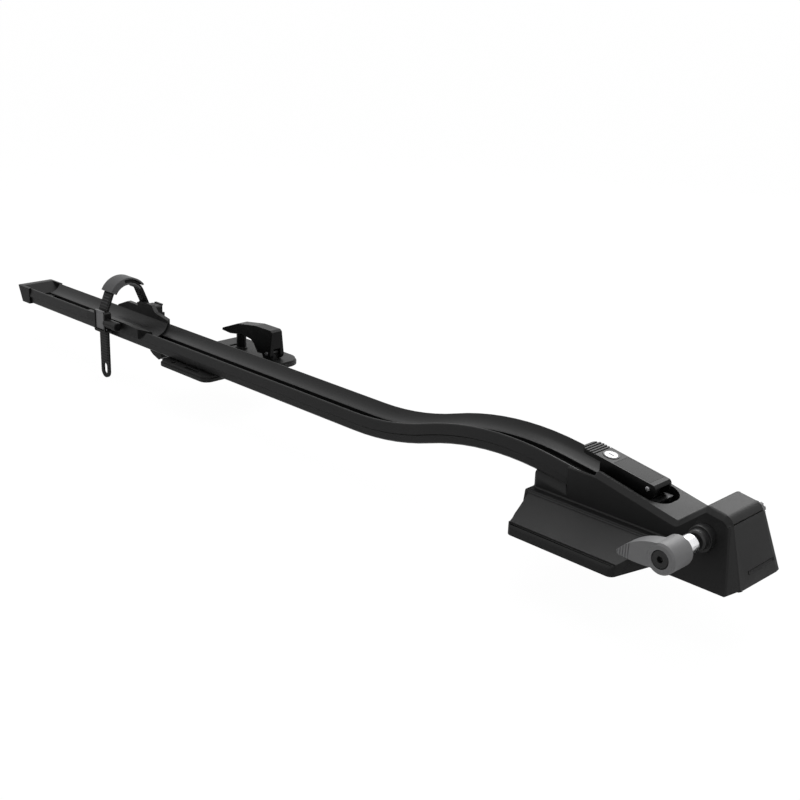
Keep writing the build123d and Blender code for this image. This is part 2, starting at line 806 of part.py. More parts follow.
# The cam lever: a drum round the skewer and a blade that reaches back over the wing
blade_inner_y = 89.0
blade_outer_y = 106.0
blade_rib_width = 1.3      # grooves across the blade's tip
blade_rib_pitch = 2.9
blade_rib_count = 5
blade_rib_depth = 0.7
drum_round = 2.0
blade_upper_share = [(-0.975, -0.145), (-0.76, 0.052), (-0.1, 0.3)]
blade_lower_share = [(-0.1, -0.22), (-0.5, -0.25), (-0.96, -0.22)]

with BuildPart() as skewer_lever:
    round_bar(cam_diameter, -hub_end, cam_length)
    chamfer(skewer_lever.edges().group_by(Axis.Y)[0], drum_round)
    with BuildSketch(Plane.XZ.offset(blade_inner_y)):
        lift = scaled(blade_upper_share, (axle_x, axle_height), (blade_length, blade_length))
        drop = scaled(blade_lower_share, (axle_x, axle_height), (blade_length, blade_length))
        with BuildLine():
            ThreePointArc(*lift)
            ThreePointArc(*drop)
            Line(lift[-1], drop[0])
            Line(drop[-1], lift[0])
        make_face()
    extrude(amount=blade_outer_y - blade_inner_y)
    with BuildSketch(Plane.XZ.offset(blade_outer_y)):
        with Locations((lift[0][0] + blade_rib_count * blade_rib_pitch / 2, axle_height)):
            with GridLocations(blade_rib_pitch, blade_length, blade_rib_count, 1):
                Rectangle(blade_rib_width, blade_length)
    extrude(amount=-blade_rib_depth, mode=Mode.SUBTRACT)
    round_bar(cam_bolt_diameter + 2 * running_gap, -hub_end, cam_bolt_height + seat_gap, Mode.SUBTRACT)
    round_bar(rod_diameter + 4 * shaft_gap, -hub_end, cam_length, Mode.SUBTRACT)
save(skewer_lever, "skewer_lever")


# Front clamp lever: a channel whose walls are cams under the pin
grip_thickness = 5.0
skirt_height = 60.0        # underside of the deep skirt at its rear
channel_rear_x = 1.0       # where the hollow between the lever's walls begins
front_plate = 2.5
front_round = 4.5
rib_count = 5
rib_pitch = 3.6
rib_width = 1.7
rib_depth = 1.0
plate_rim = 2.0            # frame left round the name plate
name_plate_thickness = 0.8
name_plate_front_x = 45.0
pin_head = 1.2             # how far the pin's head stands out
lock_ring_step = 0.5       # how far the lock stands over the lever

lever_slope = (lever_back_height - lever_deck_height) / lever_pin_x
cam_x = lever_pin_x - cam_offset * sin(radians(cam_lean))
cam_z = lever_pin_height - cam_offset * cos(radians(cam_lean))
lever_front_x = cam_x + cam_radius


def lever_top(x):
    """Height of the clamp lever's top face."""
    return lever_back_height - x * lever_slope


def lever_top_plane(x):
    """A plane on the lever's top face."""
    return Plane(origin=(x, 0, lever_top(x)), x_dir=(1, 0, -lever_slope), z_dir=(lever_slope, 0, 1))


with BuildPart() as clamp_lever:
    with BuildSketch(Plane.XZ) as lever_side:
        fill([
            (lever_tip_x, lever_top(lever_tip_x) - grip_thickness),
            (lever_tip_x, lever_top(lever_tip_x)),
            (lever_front_x, lever_top(lever_front_x)),
            (lever_front_x, cam_z),
            (cam_x, cam_z - cam_radius / 2),
            (lever_skirt_x, skirt_height),
            (lever_skirt_x, lever_top(lever_skirt_x) - grip_thickness),
        ])
        fillet(corner(lever_side, lever_front_x, lever_top(lever_front_x)), front_round)
        fillet(corner(lever_side, lever_tip_x, lever_top(lever_tip_x)), grip_thickness / 2)
        with Locations((cam_x, cam_z)):
            Circle(cam_radius)
    extrude(amount=lever_half_width, both=True)
    with BuildSketch(lever_top_plane(0)) as lever_plan:
        Rectangle(4 * lever_front_x, 2 * lever_half_width)
        with Locations((lever_tip_x - overrun, 0)):
            Rectangle(
                overrun + 2 * grip_thickness,
                2 * lever_half_width,
                align=(Align.MIN, Align.CENTER),
                mode=Mode.SUBTRACT,
            )
        with Locations((lever_tip_x + 2 * grip_thickness, 0)):
            Ellipse(2 * grip_thickness, lever_half_width)
    extrude(amount=-2 * lever_front_x, mode=Mode.INTERSECT)
    with BuildSketch(Plane.XZ):
        fill([
            (channel_rear_x, skirt_height - overrun),
            (channel_rear_x, lever_top(channel_rear_x) - name_plate_thickness - lever_web),
            (lever_front_x - front_plate, lever_top(lever_front_x) - name_plate_thickness - lever_web),
            (lever_front_x - front_plate, cam_z - cam_radius - overrun),
            (cam_x - cam_radius, cam_z - cam_radius - overrun),
        ])
    extrude(amount=lever_half_width - lever_wall, both=True, mode=Mode.SUBTRACT)
    with BuildSketch(Plane.XZ):
        with Locations((lever_pin_x, cam_z - cam_radius)):
            Rectangle(
                2 * cam_radius,
                cam_radius + (lever_pin_height - cam_z) + pin_head,
                align=(Align.MIN, Align.MIN),
            )
    extrude(amount=lever_half_width - lever_wall, both=True, mode=Mode.SUBTRACT)
    with BuildSketch(lever_top_plane(0)):
        Rectangle(name_plate_front_x, 2 * (lever_half_width - plate_rim), align=(Align.MIN, Align.CENTER))
    extrude(amount=-name_plate_thickness, mode=Mode.SUBTRACT)
    with BuildSketch(lever_top_plane(lever_tip_x + grip_thickness)):
        with Locations((rib_pitch * (rib_count - 1) / 2, 0)):
            with GridLocations(rib_pitch, lever_half_width, rib_count, 1):
                Rectangle(rib_width, 2 * lever_half_width)
    extrude(amount=-rib_depth, mode=Mode.SUBTRACT)
    with BuildSketch(lever_top_plane(lock_x)):
        Circle(lock_diameter / 2 + seat_gap)
    extrude(amount=-(lock_depth + seat_gap), mode=Mode.SUBTRACT)
    with BuildSketch(Plane.XZ):
        with Locations((lever_pin_x, lever_pin_height)):
            Circle(lever_pin_diameter / 2 + shaft_gap)
    extrude(amount=lever_half_width, both=True, mode=Mode.SUBTRACT)
save(clamp_lever, "clamp_lever")

with BuildPart() as lever_name_plate:
    with BuildSketch(lever_top_plane(seat_gap).offset(-name_plate_thickness)):
        Rectangle(
            name_plate_front_x - 2 * seat_gap,
            2 * (lever_half_width - plate_rim - seat_gap),
            align=(Align.MIN, Align.CENTER),
        )
    extrude(amount=name_plate_thickness)
save(lever_name_plate, "lever_name_plate")

with BuildPart() as lock_housing:
    with BuildSketch(lever_top_plane(lock_x).offset(lock_ring_step)):
        Circle(lock_diameter / 2)
    extrude(amount=-(lock_depth + lock_ring_step))
    with BuildSketch(lever_top_plane(lock_x).offset(lock_ring_step)):
        Circle(core_diameter / 2 + 2 * shaft_gap)
    extrude(amount=-(lock_depth + lock_ring_step - name_plate_thickness), mode=Mode.SUBTRACT)
save(lock_housing, "lock_housing")

with BuildPart() as lock_core:
    with BuildSketch(lever_top_plane(lock_x).offset(lock_ring_step)):
        Circle(core_diameter / 2)
    extrude(amount=-(lock_depth + lock_ring_step - name_plate_thickness - running_gap))
    with BuildSketch(lever_top_plane(lock_x).offset(lock_ring_step)):
        Rectangle(core_diameter / 2, core_diameter / 8)
    extrude(amount=-lock_depth / 2, mode=Mode.SUBTRACT)
save(lock_core, "lock_core")

with BuildPart() as clamp_lever_pin:
    with BuildSketch(Plane.XZ):
        with Locations((lever_pin_x, lever_pin_height)):
            Circle(lever_pin_diameter / 2)
    extrude(amount=lever_half_width + pin_head, both=True)
save(clamp_lever_pin, "clamp_lever_pin")


# Hook that the front lever draws up round the crossbar
eye_wall = 1.0
hook_knee_height = 10.0    # where the hook's shank turns straight down
hook_bend = 6.0
hook_lip = 12.0            # upturned end behind the bar
shank_x = front_hook_x + hook_thickness / 2
hook_floor = -front_bar_depth - hook_thickness / 2

with BuildPart() as draw_hook:
    with BuildSketch(Plane.XZ):
        with BuildLine():
            FilletPolyline(
                (lever_pin_x, lever_pin_height),
                (shank_x, hook_knee_height),
                (shank_x, hook_floor),
                (front_hook_tip_x, hook_floor),
                (front_hook_tip_x - hook_thickness, hook_floor + hook_lip),
                radius=hook_bend,
            )
        trace(line_width=hook_thickness)
        with Locations((lever_pin_x, lever_pin_height)):
            Circle(lever_pin_diameter / 2 + eye_wall)
            Circle(lever_pin_diameter / 2 + shaft_gap, mode=Mode.SUBTRACT)
    extrude(amount=front_hook_width / 2, both=True)
save(draw_hook, "draw_hook")


# Rear foot: a plate under the tray that reaches out to its own clamp lever
foot_top = plate_thickness - running_gap
plate_joint_y = 32.0       # where the narrow part of the plate meets the wide part
plate_corner = 12.0
plate_layer = 4.5
rear_pad_thickness = 2.0
rear_pad_length = 66.0     # along the carrier
rear_pad_groove_count = 4
plate_slot_width = 5.0
plate_slot_y = -34.0
plate_slot_place = 13.0    # from the foot's centre towards the nose
plate_slot_length = 32.0
plate_hole_place = 29.0    # from the foot's centre towards the tail
plate_hole_length = 8.0
plate_slots = [
    (rear_foot_x + plate_slot_place, plate_slot_length),
    (rear_foot_x - plate_hole_place, plate_hole_length),
]
foot_bolt_reach = 40.0     # each bolt's distance from the foot's centre
foot_nut_pocket = 5.5
rear_slot_play = 1.5       # room round the hook in the plate
rear_pin_z = foot_top + rear_cam_radius + rear_cam_offset * cos(radians(cam_lean)) + running_gap
rear_pin_place = rear_foot_x + rear_pin_x
far_shank_x = rear_pin_place - 2 * rear_bar_half_width - 2 * hook_thickness


def plate_plan(inset):
    """The rear foot's plan: a narrow part under the tray and a wide part beside it."""
    with Locations((rear_foot_x, -plate_near_reach + inset)):
        RectangleRounded(
            plate_near_length - 2 * inset,
            plate_near_reach + plate_joint_y + plate_corner,
            plate_corner - inset,
            align=(Align.CENTER, Align.MIN),
        )
    with Locations((rear_foot_x, plate_joint_y + inset)):
        RectangleRounded(
            plate_far_length - 2 * inset,
            plate_far_reach - plate_joint_y - 2 * inset,
            plate_corner - inset,
            align=(Align.CENTER, Align.MIN),
        )


with BuildPart() as rear_base_plate:
    with BuildSketch(Plane.XY.offset(head_clear)):
        plate_plan(0)
    extrude(amount=plate_layer)
    with BuildSketch(Plane.XY.offset(head_clear)):
        plate_plan(plate_step)
    extrude(amount=foot_top - head_clear)
    with BuildSketch(Plane.XY.offset(head_clear)):
        for x, length in plate_slots:
            with Locations((x, plate_slot_y)):
                SlotOverall(length, plate_slot_width)
        for x in (rear_pin_place, far_shank_x):
            with Locations((x, rear_lever_y)):
                Rectangle(hook_thickness + 2 * rear_slot_play, rear_hook_width + 2 * running_gap)
        for sign in (-1, 1):
            with Locations((rear_foot_x + sign * foot_bolt_reach, 0)):
                Circle(tray_bolt_diameter / 2 + seat_gap)
    extrude(amount=plate_thickness, mode=Mode.SUBTRACT)
    with BuildSketch(Plane.XY.offset(head_clear)):
        for sign in (-1, 1):
            with Locations((rear_foot_x + sign * foot_bolt_reach, 0)):
                RegularPolygon(tray_nut_width / 2 + seat_gap, 6, major_radius=False)
    extrude(amount=foot_nut_pocket, mode=Mode.SUBTRACT)
    with BuildSketch(Plane.XY.offset(head_clear)):
        with Locations((rear_foot_x, -plate_near_reach + plate_corner)):
            Rectangle(
                rear_pad_length + 2 * seat_gap,
                plate_far_reach + plate_near_reach - 2 * plate_corner,
                align=(Align.CENTER, Align.MIN),
            )
    extrude(amount=rear_pad_thickness - head_clear, mode=Mode.SUBTRACT)
save(rear_base_plate, "rear_base_plate")

with BuildPart() as rear_pad:
    with BuildSketch():
        with Locations((rear_foot_x, -plate_near_reach + plate_corner + seat_gap)):
            Rectangle(
                rear_pad_length,
                plate_far_reach + plate_near_reach - 2 * plate_corner - 2 * seat_gap,
                align=(Align.CENTER, Align.MIN),
            )
        for x in (rear_pin_place, far_shank_x):
            with Locations((x, rear_lever_y)):
                Rectangle(
                    hook_thickness + 2 * rear_slot_play,
                    rear_hook_width + 2 * running_gap,
                    mode=Mode.SUBTRACT,
                )
    extrude(amount=rear_pad_thickness - seat_gap)
    with BuildSketch():
        with Locations((rear_foot_x, plate_joint_y)):
            with GridLocations(pad_groove_pitch, plate_far_reach, rear_pad_groove_count, 1):
                Rectangle(pad_groove_width, 2 * plate_far_reach)
    extrude(amount=pad_groove_depth / 2, mode=Mode.SUBTRACT)
save(rear_pad, "rear_pad")

with BuildPart() as rear_t_bolts:
    for sign in (-1, 1):
        with BuildSketch(Plane.XY.offset(under_cavity + seat_gap)):
            with Locations((rear_foot_x + sign * foot_bolt_reach, 0)):
                Rectangle(t_head_width, t_head_width)
        extrude(amount=t_head_height)
        with BuildSketch(Plane.XY.offset(head_clear + seat_gap)):
            with Locations((rear_foot_x + sign * foot_bolt_reach, 0)):
                Circle(tray_bolt_diameter / 2)
        extrude(amount=under_cavity - head_clear)
save(rear_t_bolts, "rear_t_bolts")

with BuildPart() as rear_nuts:
    for sign in (-1, 1):
        with BuildSketch(Plane.XY.offset(head_clear + foot_nut_pocket - tray_nut_height - seat_gap)):
            with Locations((rear_foot_x + sign * foot_bolt_reach, 0)):
                RegularPolygon(tray_nut_width / 2, 6, major_radius=False)
                Circle(tray_bolt_diameter / 2 + shaft_gap, mode=Mode.SUBTRACT)
        extrude(amount=tray_nut_height)
save(rear_nuts, "rear_nuts")

# Stop block under the tray, behind the rear foot
stop_length = 27.0
stop_front_reach = 79.0    # from the foot's centre back to the block's front
stop_width = 40.0
stop_depth = 13.0          # below the tray
stop_neck = 8.6
with BuildPart() as tray_stop:
    with BuildSketch(Plane.XZ):
        front = rear_foot_x - stop_front_reach
        fill([
            (front, foot_top),
            (front, foot_top - stop_depth + plate_layer),
            (front - stop_length / 4, foot_top - stop_depth),
            (front - 3 * stop_length / 4, foot_top - stop_depth + plate_layer),
            (front - stop_length, foot_top - plate_layer),
            (front - stop_length, foot_top),
        ])
    extrude(amount=stop_width / 2, both=True)
    for shift, width, height in (
        (foot_top, stop_neck, under_cavity + seat_gap - foot_top),
        (under_cavity + seat_gap, t_head_width, t_head_height),
    ):
        with BuildSketch(Plane.XY.offset(shift)):
            with Locations((front - stop_length / 2, 0)):
                Rectangle(t_head_width, width)
        extrude(amount=height)
save(tray_stop, "tray_stop")


# Rear clamp lever: two prongs with cams at one end, a broad grip at the other
rear_prong_length = 22.0
rear_top_share = [(0.039, 0.37), (-0.29, 0.37), (-0.68, 0.29), (-1.0, 0.14)]
rear_under_share = [(-1.0, 0.11), (-0.815, 0.1), (-0.57, 0.136), (-0.2, -0.03)]
rear_grip_round = 3.0
rear_cam_x = rear_pin_place - rear_cam_offset * sin(radians(cam_lean))
rear_cam_z = rear_pin_z - rear_cam_offset * cos(radians(cam_lean))
rear_front_x = rear_cam_x + rear_cam_radius

with BuildPart() as rear_lever:
    with BuildSketch(Plane.XZ.offset(-rear_lever_y)) as rear_side:
        reach = (rear_tip_reach, rear_tip_reach)
        fill(
            [(rear_front_x, rear_cam_z), (rear_front_x, rear_pin_z + rear_tip_reach / 3)]
            + scaled(rear_top_share, (rear_pin_place, rear_pin_z), reach)
            + scaled(rear_under_share, (rear_pin_place, rear_pin_z), reach)
        )
        fillet(corner(rear_side, rear_front_x, rear_pin_z + rear_tip_reach / 3), rear_grip_round)
        with Locations((rear_cam_x, rear_cam_z)):
            Circle(rear_cam_radius)
    extrude(amount=rear_lever_width / 2, both=True)
    with BuildSketch(Plane.XY.offset(rear_cam_z - rear_cam_radius)):
        with Locations((rear_front_x, rear_lever_y)):
            Rectangle(
                rear_prong_length,
                rear_hook_width + 2 * running_gap,
                align=(Align.MAX, Align.CENTER),
            )
    extrude(amount=rear_cam_radius + eye_wall + rear_pin_diameter + rear_cam_offset, mode=Mode.SUBTRACT)
    with BuildSketch(Plane.XZ.offset(-rear_lever_y)):
        with Locations((rear_pin_place, rear_pin_z)):
            Circle(rear_pin_diameter / 2 + shaft_gap)
    extrude(amount=rear_lever_width, both=True, mode=Mode.SUBTRACT)
save(rear_lever, "rear_lever")

with BuildPart() as rear_lever_pin:
    with BuildSketch(Plane.XZ.offset(-rear_lever_y)):
        with Locations((rear_pin_place, rear_pin_z)):
            Circle(rear_pin_diameter / 2)
    extrude(amount=rear_lever_width / 2 + pin_head, both=True)
save(rear_lever_pin, "rear_lever_pin")

with BuildPart() as rear_hook:
    with BuildSketch(Plane.XZ.offset(-rear_lever_y)):
        with BuildLine():
            FilletPolyline(
                (rear_pin_place, rear_pin_z),
                (rear_pin_place, -rear_bar_depth - hook_thickness / 2),
                (far_shank_x, -rear_bar_depth - hook_thickness / 2),
                (far_shank_x, foot_top - rear_pad_thickness),
                radius=hook_bend,
            )
        trace(line_width=hook_thickness)
        with Locations((rear_pin_place, rear_pin_z)):
            Circle(rear_pin_diameter / 2 + eye_wall)
            Circle(rear_pin_diameter / 2 + shaft_gap, mode=Mode.SUBTRACT)
    extrude(amount=rear_hook_width / 2, both=True)
save(rear_hook, "rear_hook")

post_collar = 2.0
(low_a, low_b), (high_a, high_b) = rear_under_share[1], rear_under_share[2]
post_edge_share = -(rear_post_reach + rear_post_diameter / 2) / rear_tip_reach
post_rise_share = low_b + (post_edge_share - low_a) * (high_b - low_b) / (high_a - low_a)
post_top = rear_pin_z + rear_tip_reach * post_rise_share - running_gap
with BuildPart() as rear_post:
    with BuildSketch(Plane.XY.offset(foot_top)):
        with Locations((rear_pin_place - rear_post_reach, rear_lever_y)):
            Circle(rear_post_diameter / 2)
    extrude(amount=post_collar)
    with BuildSketch(Plane.XY.offset(foot_top + post_collar)):
        with Locations((rear_pin_place - rear_post_reach, rear_lever_y)):
            Circle(rear_post_diameter / 2 - post_collar / 2)
    extrude(amount=post_top - foot_top - post_collar)
save(rear_post, "rear_post")


# Wheel cradle: a moulding that clips over the tray and holds the rear wheel
skirt_thickness = 1.8
skirt_foot_height = 20.5
cradle_gap = 0.45          # between the cradle and the tray that it slides on
cradle_floor = 2.6         # skin over the tray's trough
cradle_slant = 40.0        # how much shorter the far side is
cradle_near_share = [(0, 0.1), (0.354, 0.14), (0.61, 0.17), (1, 0.1)]
cradle_far_share = [
    (0, 0.106), (0.146, 0.51), (0.311, 0.489), (0.329, 0.787), (0.524, 0.787), (0.585, 0.404),
    (0.793, 0.17), (1, 0.106),
]
cradle_out = half + running_gap + skirt_thickness
cradle_top = 52.0
cradle_wall_width = 5.5
cradle_groove_half = 7.0
cradle_rib_share = 0.66
cradle_rib_pitch = 5.4
cradle_rib_count = 8
cradle_bulge_share = 0.6    # where the trough's curve passes, across and up
cradle_arc_share = 0.25
cradle_foot_length = 60.0

cradle_front_far_x = cradle_front_x - cradle_slant
cradle_floor_height = trough_floor + cradle_floor + cradle_gap
cradle_arc_y = cradle_groove_half + (half - cradle_wall_width - cradle_groove_half) * cradle_bulge_share
cradle_arc_height = cradle_floor_height + (rim_height - trough_floor) * cradle_arc_share

with BuildPart() as wheel_cradle:
    with BuildSketch(Plane.YZ.offset(cradle_rear_x)):
        gap = cradle_gap
        with BuildLine():
            Polyline(
                (0, cradle_floor_height),
                (cradle_groove_half, cradle_floor_height),
            )
            ThreePointArc(
                (cradle_groove_half, cradle_floor_height),
                (cradle_arc_y, cradle_arc_height),
                (half - cradle_wall_width, rim_height + gap),
            )
            Polyline(
                (half - cradle_wall_width, rim_height + gap),
                (half - cradle_wall_width + skirt_thickness, cradle_top),
                (cradle_out, cradle_top),
                (cradle_out, skirt_foot_height),
                (half + gap, skirt_foot_height),
                (half + gap, rim_height + gap),
                (rim_inner, rim_height + gap),
            )
            trough_arc(-gap)
            Polyline(
                (slot_half, trough_floor + gap),
                (0, trough_floor + gap),
                (0, cradle_floor_height),
            )
        make_face()
        mirror(about=Plane.YZ)
    extrude(amount=cradle_length)
    for side_sign, outline in ((1, cradle_near_share), (-1, cradle_far_share)):
        with BuildSketch(Plane.XZ):
            edge = scaled(outline, (cradle_rear_x, rim_height), (cradle_length, tray_height))
            fill(
                [(cradle_rear_x - overrun, edge[0][1])]
                + edge
                + [
                    (cradle_front_x + overrun, edge[-1][1]),
                    (cradle_front_x + overrun, cradle_top + overrun),
                    (cradle_rear_x - overrun, cradle_top + overrun),
                ]
            )
        extrude(amount=side_sign * (cradle_out + overrun), mode=Mode.SUBTRACT)
    with BuildSketch():
        fill([
            (cradle_front_x, -cradle_out - overrun),
            (cradle_front_x + overrun, -cradle_out - overrun),
            (cradle_front_x + overrun, cradle_out + overrun),
            (cradle_front_far_x, cradle_out + overrun),
            (cradle_front_far_x, cradle_out),
            (cradle_front_x, -cradle_out),
        ])
    extrude(amount=cradle_top + overrun, mode=Mode.SUBTRACT)
    # ribs that grip the tyre at the near side of the trough
    rib_foot = (-cradle_groove_half, cradle_floor_height)
    rib_bulge = (-cradle_arc_y, cradle_arc_height)
    rib_top = (cradle_wall_width - half, rim_height + cradle_gap)
    rib_middle_x = cradle_rear_x + cradle_length * cradle_rib_share
    for turn in range(cradle_rib_count):
        rib_x = rib_middle_x + (turn - cradle_rib_count / 2) * cradle_rib_pitch
        with BuildSketch(Plane.YZ.offset(rib_x)):
            with BuildLine():
                ThreePointArc(rib_foot, rib_bulge, rib_top)
                Line(rib_top, rib_foot)
            make_face()
        extrude(amount=cradle_rib_pitch / 3)
    # foot that runs in the tray's upper slot
    for width, height in (
        (tray_cavity_width, tray_cavity_height - 2 * running_gap),
        (tray_slot_width, trough_floor + cradle_floor - upper_cavity),
    ):
        with BuildSketch(Plane.XY.offset(upper_cavity + running_gap)):
            with Locations((cradle_rear_x + cradle_length / 3, 0)):
                Rectangle(cradle_foot_length, width - 2 * running_gap)
        extrude(amount=height)
save(wheel_cradle, "wheel_cradle")


# Strap over the wheel: an arch between the two buckles, with a loose toothed tail
strap_bottom = -strap_tail_depth
strap_near_y = strap_arch_y - strap_leg_reach
strap_far_y = strap_arch_y + strap_leg_reach
strap_far_foot = 34.0      # lower end of the strap inside the far buckle
strap_tooth_pitch = 4.0
strap_loop_width = 10.0
strap_loop_length = 17.0
tooth_land = 2.5           # plain margin beside the teeth

lean = radians(strap_lean)
lean_reach = strap_leg_reach - strap_arch_radius * cos(lean) - strap_bend * (1 - cos(lean))
lean_run = lean_reach / sin(lean)
strap_arch_height = (
    strap_leg_height + (strap_bend - strap_arch_radius) * sin(lean) + lean_run * cos(lean)
)

with BuildLine() as strap_route:
    leg = Line((strap_near_y, strap_bottom), (strap_near_y, strap_leg_height))
    turn_in = JernArc(start=leg @ 1, tangent=leg % 1, radius=strap_bend, arc_size=-strap_lean)
    climb = Line(turn_in @ 1, turn_in @ 1 + (turn_in % 1) * lean_run)
    arch = JernArc(
        start=climb @ 1, tangent=climb % 1, radius=strap_arch_radius, arc_size=2 * strap_lean - half_turn
    )
    descent = Line(arch @ 1, arch @ 1 + (arch % 1) * lean_run)
    turn_down = JernArc(
        start=descent @ 1, tangent=descent % 1, radius=strap_bend, arc_size=-strap_lean
    )
    Line(turn_down @ 1, (strap_far_y, strap_far_foot))

with BuildPart() as wheel_strap:
    with BuildSketch(Plane.YZ.offset(strap_x - strap_width / 2)):
        add(strap_route.line)
        trace(line_width=strap_thickness)
    extrude(amount=strap_width)
    # teeth on the outer face, from above the loop to the arch's far end
    toothed = [
        (leg, strap_loop_length + strap_width / 2, leg.length),
        (climb, 0, climb.length),
        (arch, 0, arch.length),
    ]
    with BuildSketch(Plane.YZ.offset(strap_x - strap_width / 2 + tooth_land)):
        for run, first, last in toothed:
            for turn in range(int((last - first) / strap_tooth_pitch)):
                share = (first + turn * strap_tooth_pitch) / run.length
                along = run.tangent_at(share)
                out = Vector(-along.Y, along.X)
                root = run.position_at(share) + out * (strap_thickness - strap_tooth) / 2
                tip = root + out * strap_tooth * 3 / 2
                end = root + along * (strap_tooth_pitch - running_gap)
                fill([(root.X, root.Y), (tip.X, tip.Y), (end.X, end.Y)])
    extrude(amount=strap_width - 2 * tooth_land)
    # the rounded tip and its loop
    with BuildSketch(Plane.XZ.offset(-strap_near_y)):
        with Locations((strap_x, strap_bottom + strap_width / 2)):
            Rectangle(
                strap_width + overrun, strap_width / 2 + overrun, align=(Align.CENTER, Align.MAX)
            )
            Circle(strap_width / 2, mode=Mode.SUBTRACT)
        loop_height = strap_bottom + (strap_width - strap_loop_width + strap_loop_length) / 2
        with Locations(Location((strap_x, loop_height), 90)):
            SlotOverall(strap_loop_length, strap_loop_width)
    extrude(amount=strap_width, both=True, mode=Mode.SUBTRACT)
save(wheel_strap, "wheel_strap")


# Soft sleeve that pads the strap over the rim, with a window along its front edge
sleeve_half_width = strap_width / 2 + pad_sleeve_wall
sleeve_start = 28.0        # degrees up from the near side, and where it ends past the top
sleeve_end = 143.0
window_start = 78.0        # degrees, where the window in the front edge begins
sleeve_inner = strap_arch_radius - strap_thickness / 2 - pad_sleeve_gap
sleeve_outer = strap_arch_radius + strap_thickness / 2 + strap_tooth + pad_sleeve_gap


def sleeve_ring(low, high, start):
    """A stretch of a ring round the arch's middle, from an angle to the sleeve's far end."""
    centre = (strap_arch_y, strap_arch_height)
    with BuildLine() as ring:
        first = CenterArc(centre, low, half_turn - start, start - sleeve_end)
        second = CenterArc(centre, high, half_turn - start, start - sleeve_end)
        Line(first @ 0, second @ 0)
        Line(first @ 1, second @ 1)
    make_face(ring.edges())


with BuildPart() as strap_pad:
    with BuildSketch(Plane.YZ.offset(strap_x - sleeve_half_width)):
        sleeve_ring(sleeve_inner - pad_sleeve_wall, sleeve_outer + pad_sleeve_wall, sleeve_start)
    extrude(amount=2 * sleeve_half_width)
    with BuildSketch(Plane.YZ.offset(strap_x - strap_width / 2 - pad_sleeve_gap)):
        sleeve_ring(sleeve_inner, sleeve_outer, sleeve_start)
    extrude(amount=strap_width + 2 * pad_sleeve_gap, mode=Mode.SUBTRACT)
    with BuildSketch(Plane.YZ.offset(strap_x + strap_width / 2)):
        sleeve_ring(sleeve_inner, sleeve_outer, window_start)
    extrude(amount=pad_sleeve_wall + overrun, mode=Mode.SUBTRACT)
save(strap_pad, "strap_pad")


# Near buckle, which the tail runs down through, with its ratchet lever
buckle_half_width = 14.0
buckle_floor_height = 15.0
buckle_top_height = 46.0
buckle_depth = 11.5        # from the cradle's side out
buckle_corner = 3.0
buckle_throat_gap = 0.5    # round the strap
near_lever_thickness = 3.2
near_lever_length = 27.0
buckle_pin_diameter = 3.0
buckle_pin_step = 0.5      # how much slimmer the pins are than the levers' knuckles
buckle_pin_height = 20.5
barrel_radius = 6.5
barrel_length = 27.0       # beside the buckle
barrel_height = 30.3

buckle_inner_y = -cradle_out - seat_gap
throat_inner_y = strap_near_y + strap_thickness / 2 + buckle_throat_gap
throat_outer_y = strap_near_y - strap_thickness / 2 - strap_tooth - buckle_throat_gap
near_pin_y = throat_outer_y - buckle_pin_diameter / 2 - running_gap
barrel_y = buckle_inner_y - barrel_radius

with BuildPart() as near_buckle:
    with BuildSketch(Plane.XZ.offset(-buckle_inner_y)):
        with Locations((strap_x, (buckle_floor_height + buckle_top_height) / 2)):
            RectangleRounded(2 * buckle_half_width, buckle_top_height - buckle_floor_height, buckle_corner)
    extrude(amount=buckle_depth)
    with BuildSketch(Plane.XY.offset(buckle_floor_height)):
        with Locations((strap_x, (throat_inner_y + throat_outer_y) / 2)):
            Rectangle(strap_width + 2 * buckle_throat_gap, throat_inner_y - throat_outer_y)
    extrude(amount=buckle_top_height, mode=Mode.SUBTRACT)
    # the window that the lever lies in
    with BuildSketch(Plane.XZ.offset(-throat_outer_y - buckle_throat_gap)):
        with Locations((strap_x, buckle_pin_height - buckle_pin_diameter / 2 - running_gap)):
            Rectangle(
                strap_width + 2 * buckle_throat_gap,
                near_lever_length + 4 * buckle_pin_diameter,
                align=(Align.CENTER, Align.MIN),
            )
    extrude(amount=buckle_depth, mode=Mode.SUBTRACT)
    with BuildSketch(Plane.YZ.offset(strap_x + buckle_half_width - buckle_corner)):
        with Locations((barrel_y, barrel_height)):
            Circle(barrel_radius)
    extrude(amount=barrel_length + buckle_corner)
    chamfer(near_buckle.edges().group_by(Axis.X)[-1], buckle_corner / 3)
    with BuildSketch(Plane.YZ.offset(strap_x)):
        with Locations((near_pin_y, buckle_pin_height)):
            Circle(buckle_pin_diameter / 2 - buckle_pin_step + shaft_gap)
    extrude(amount=buckle_half_width + overrun, both=True, mode=Mode.SUBTRACT)
save(near_buckle, "near_buckle")


def buckle_lever(pin_y, pin_z, outward, length, thickness):
    """Side outline of a small buckle lever that stands up from its pin."""
    fill([
        (pin_y + outward * thickness / 2, pin_z),
        (pin_y + outward * thickness / 2, pin_z + length - thickness),
        (pin_y + outward * thickness, pin_z + length),
        (pin_y, pin_z + length),
        (pin_y - outward * thickness / 2, pin_z + length - 2 * thickness),
        (pin_y - outward * thickness / 2, pin_z),
    ])
    with Locations((pin_y, pin_z)):
        Circle(thickness / 2)


with BuildPart() as near_buckle_lever:
    with BuildSketch(Plane.YZ.offset(strap_x)):
        buckle_lever(near_pin_y, buckle_pin_height, -1, near_lever_length, near_lever_thickness)
        with Locations((near_pin_y, buckle_pin_height)):
            Circle(buckle_pin_diameter / 2 - buckle_pin_step + shaft_gap, mode=Mode.SUBTRACT)
    extrude(amount=strap_width / 2 - running_gap, both=True)
save(near_buckle_lever, "near_buckle_lever")

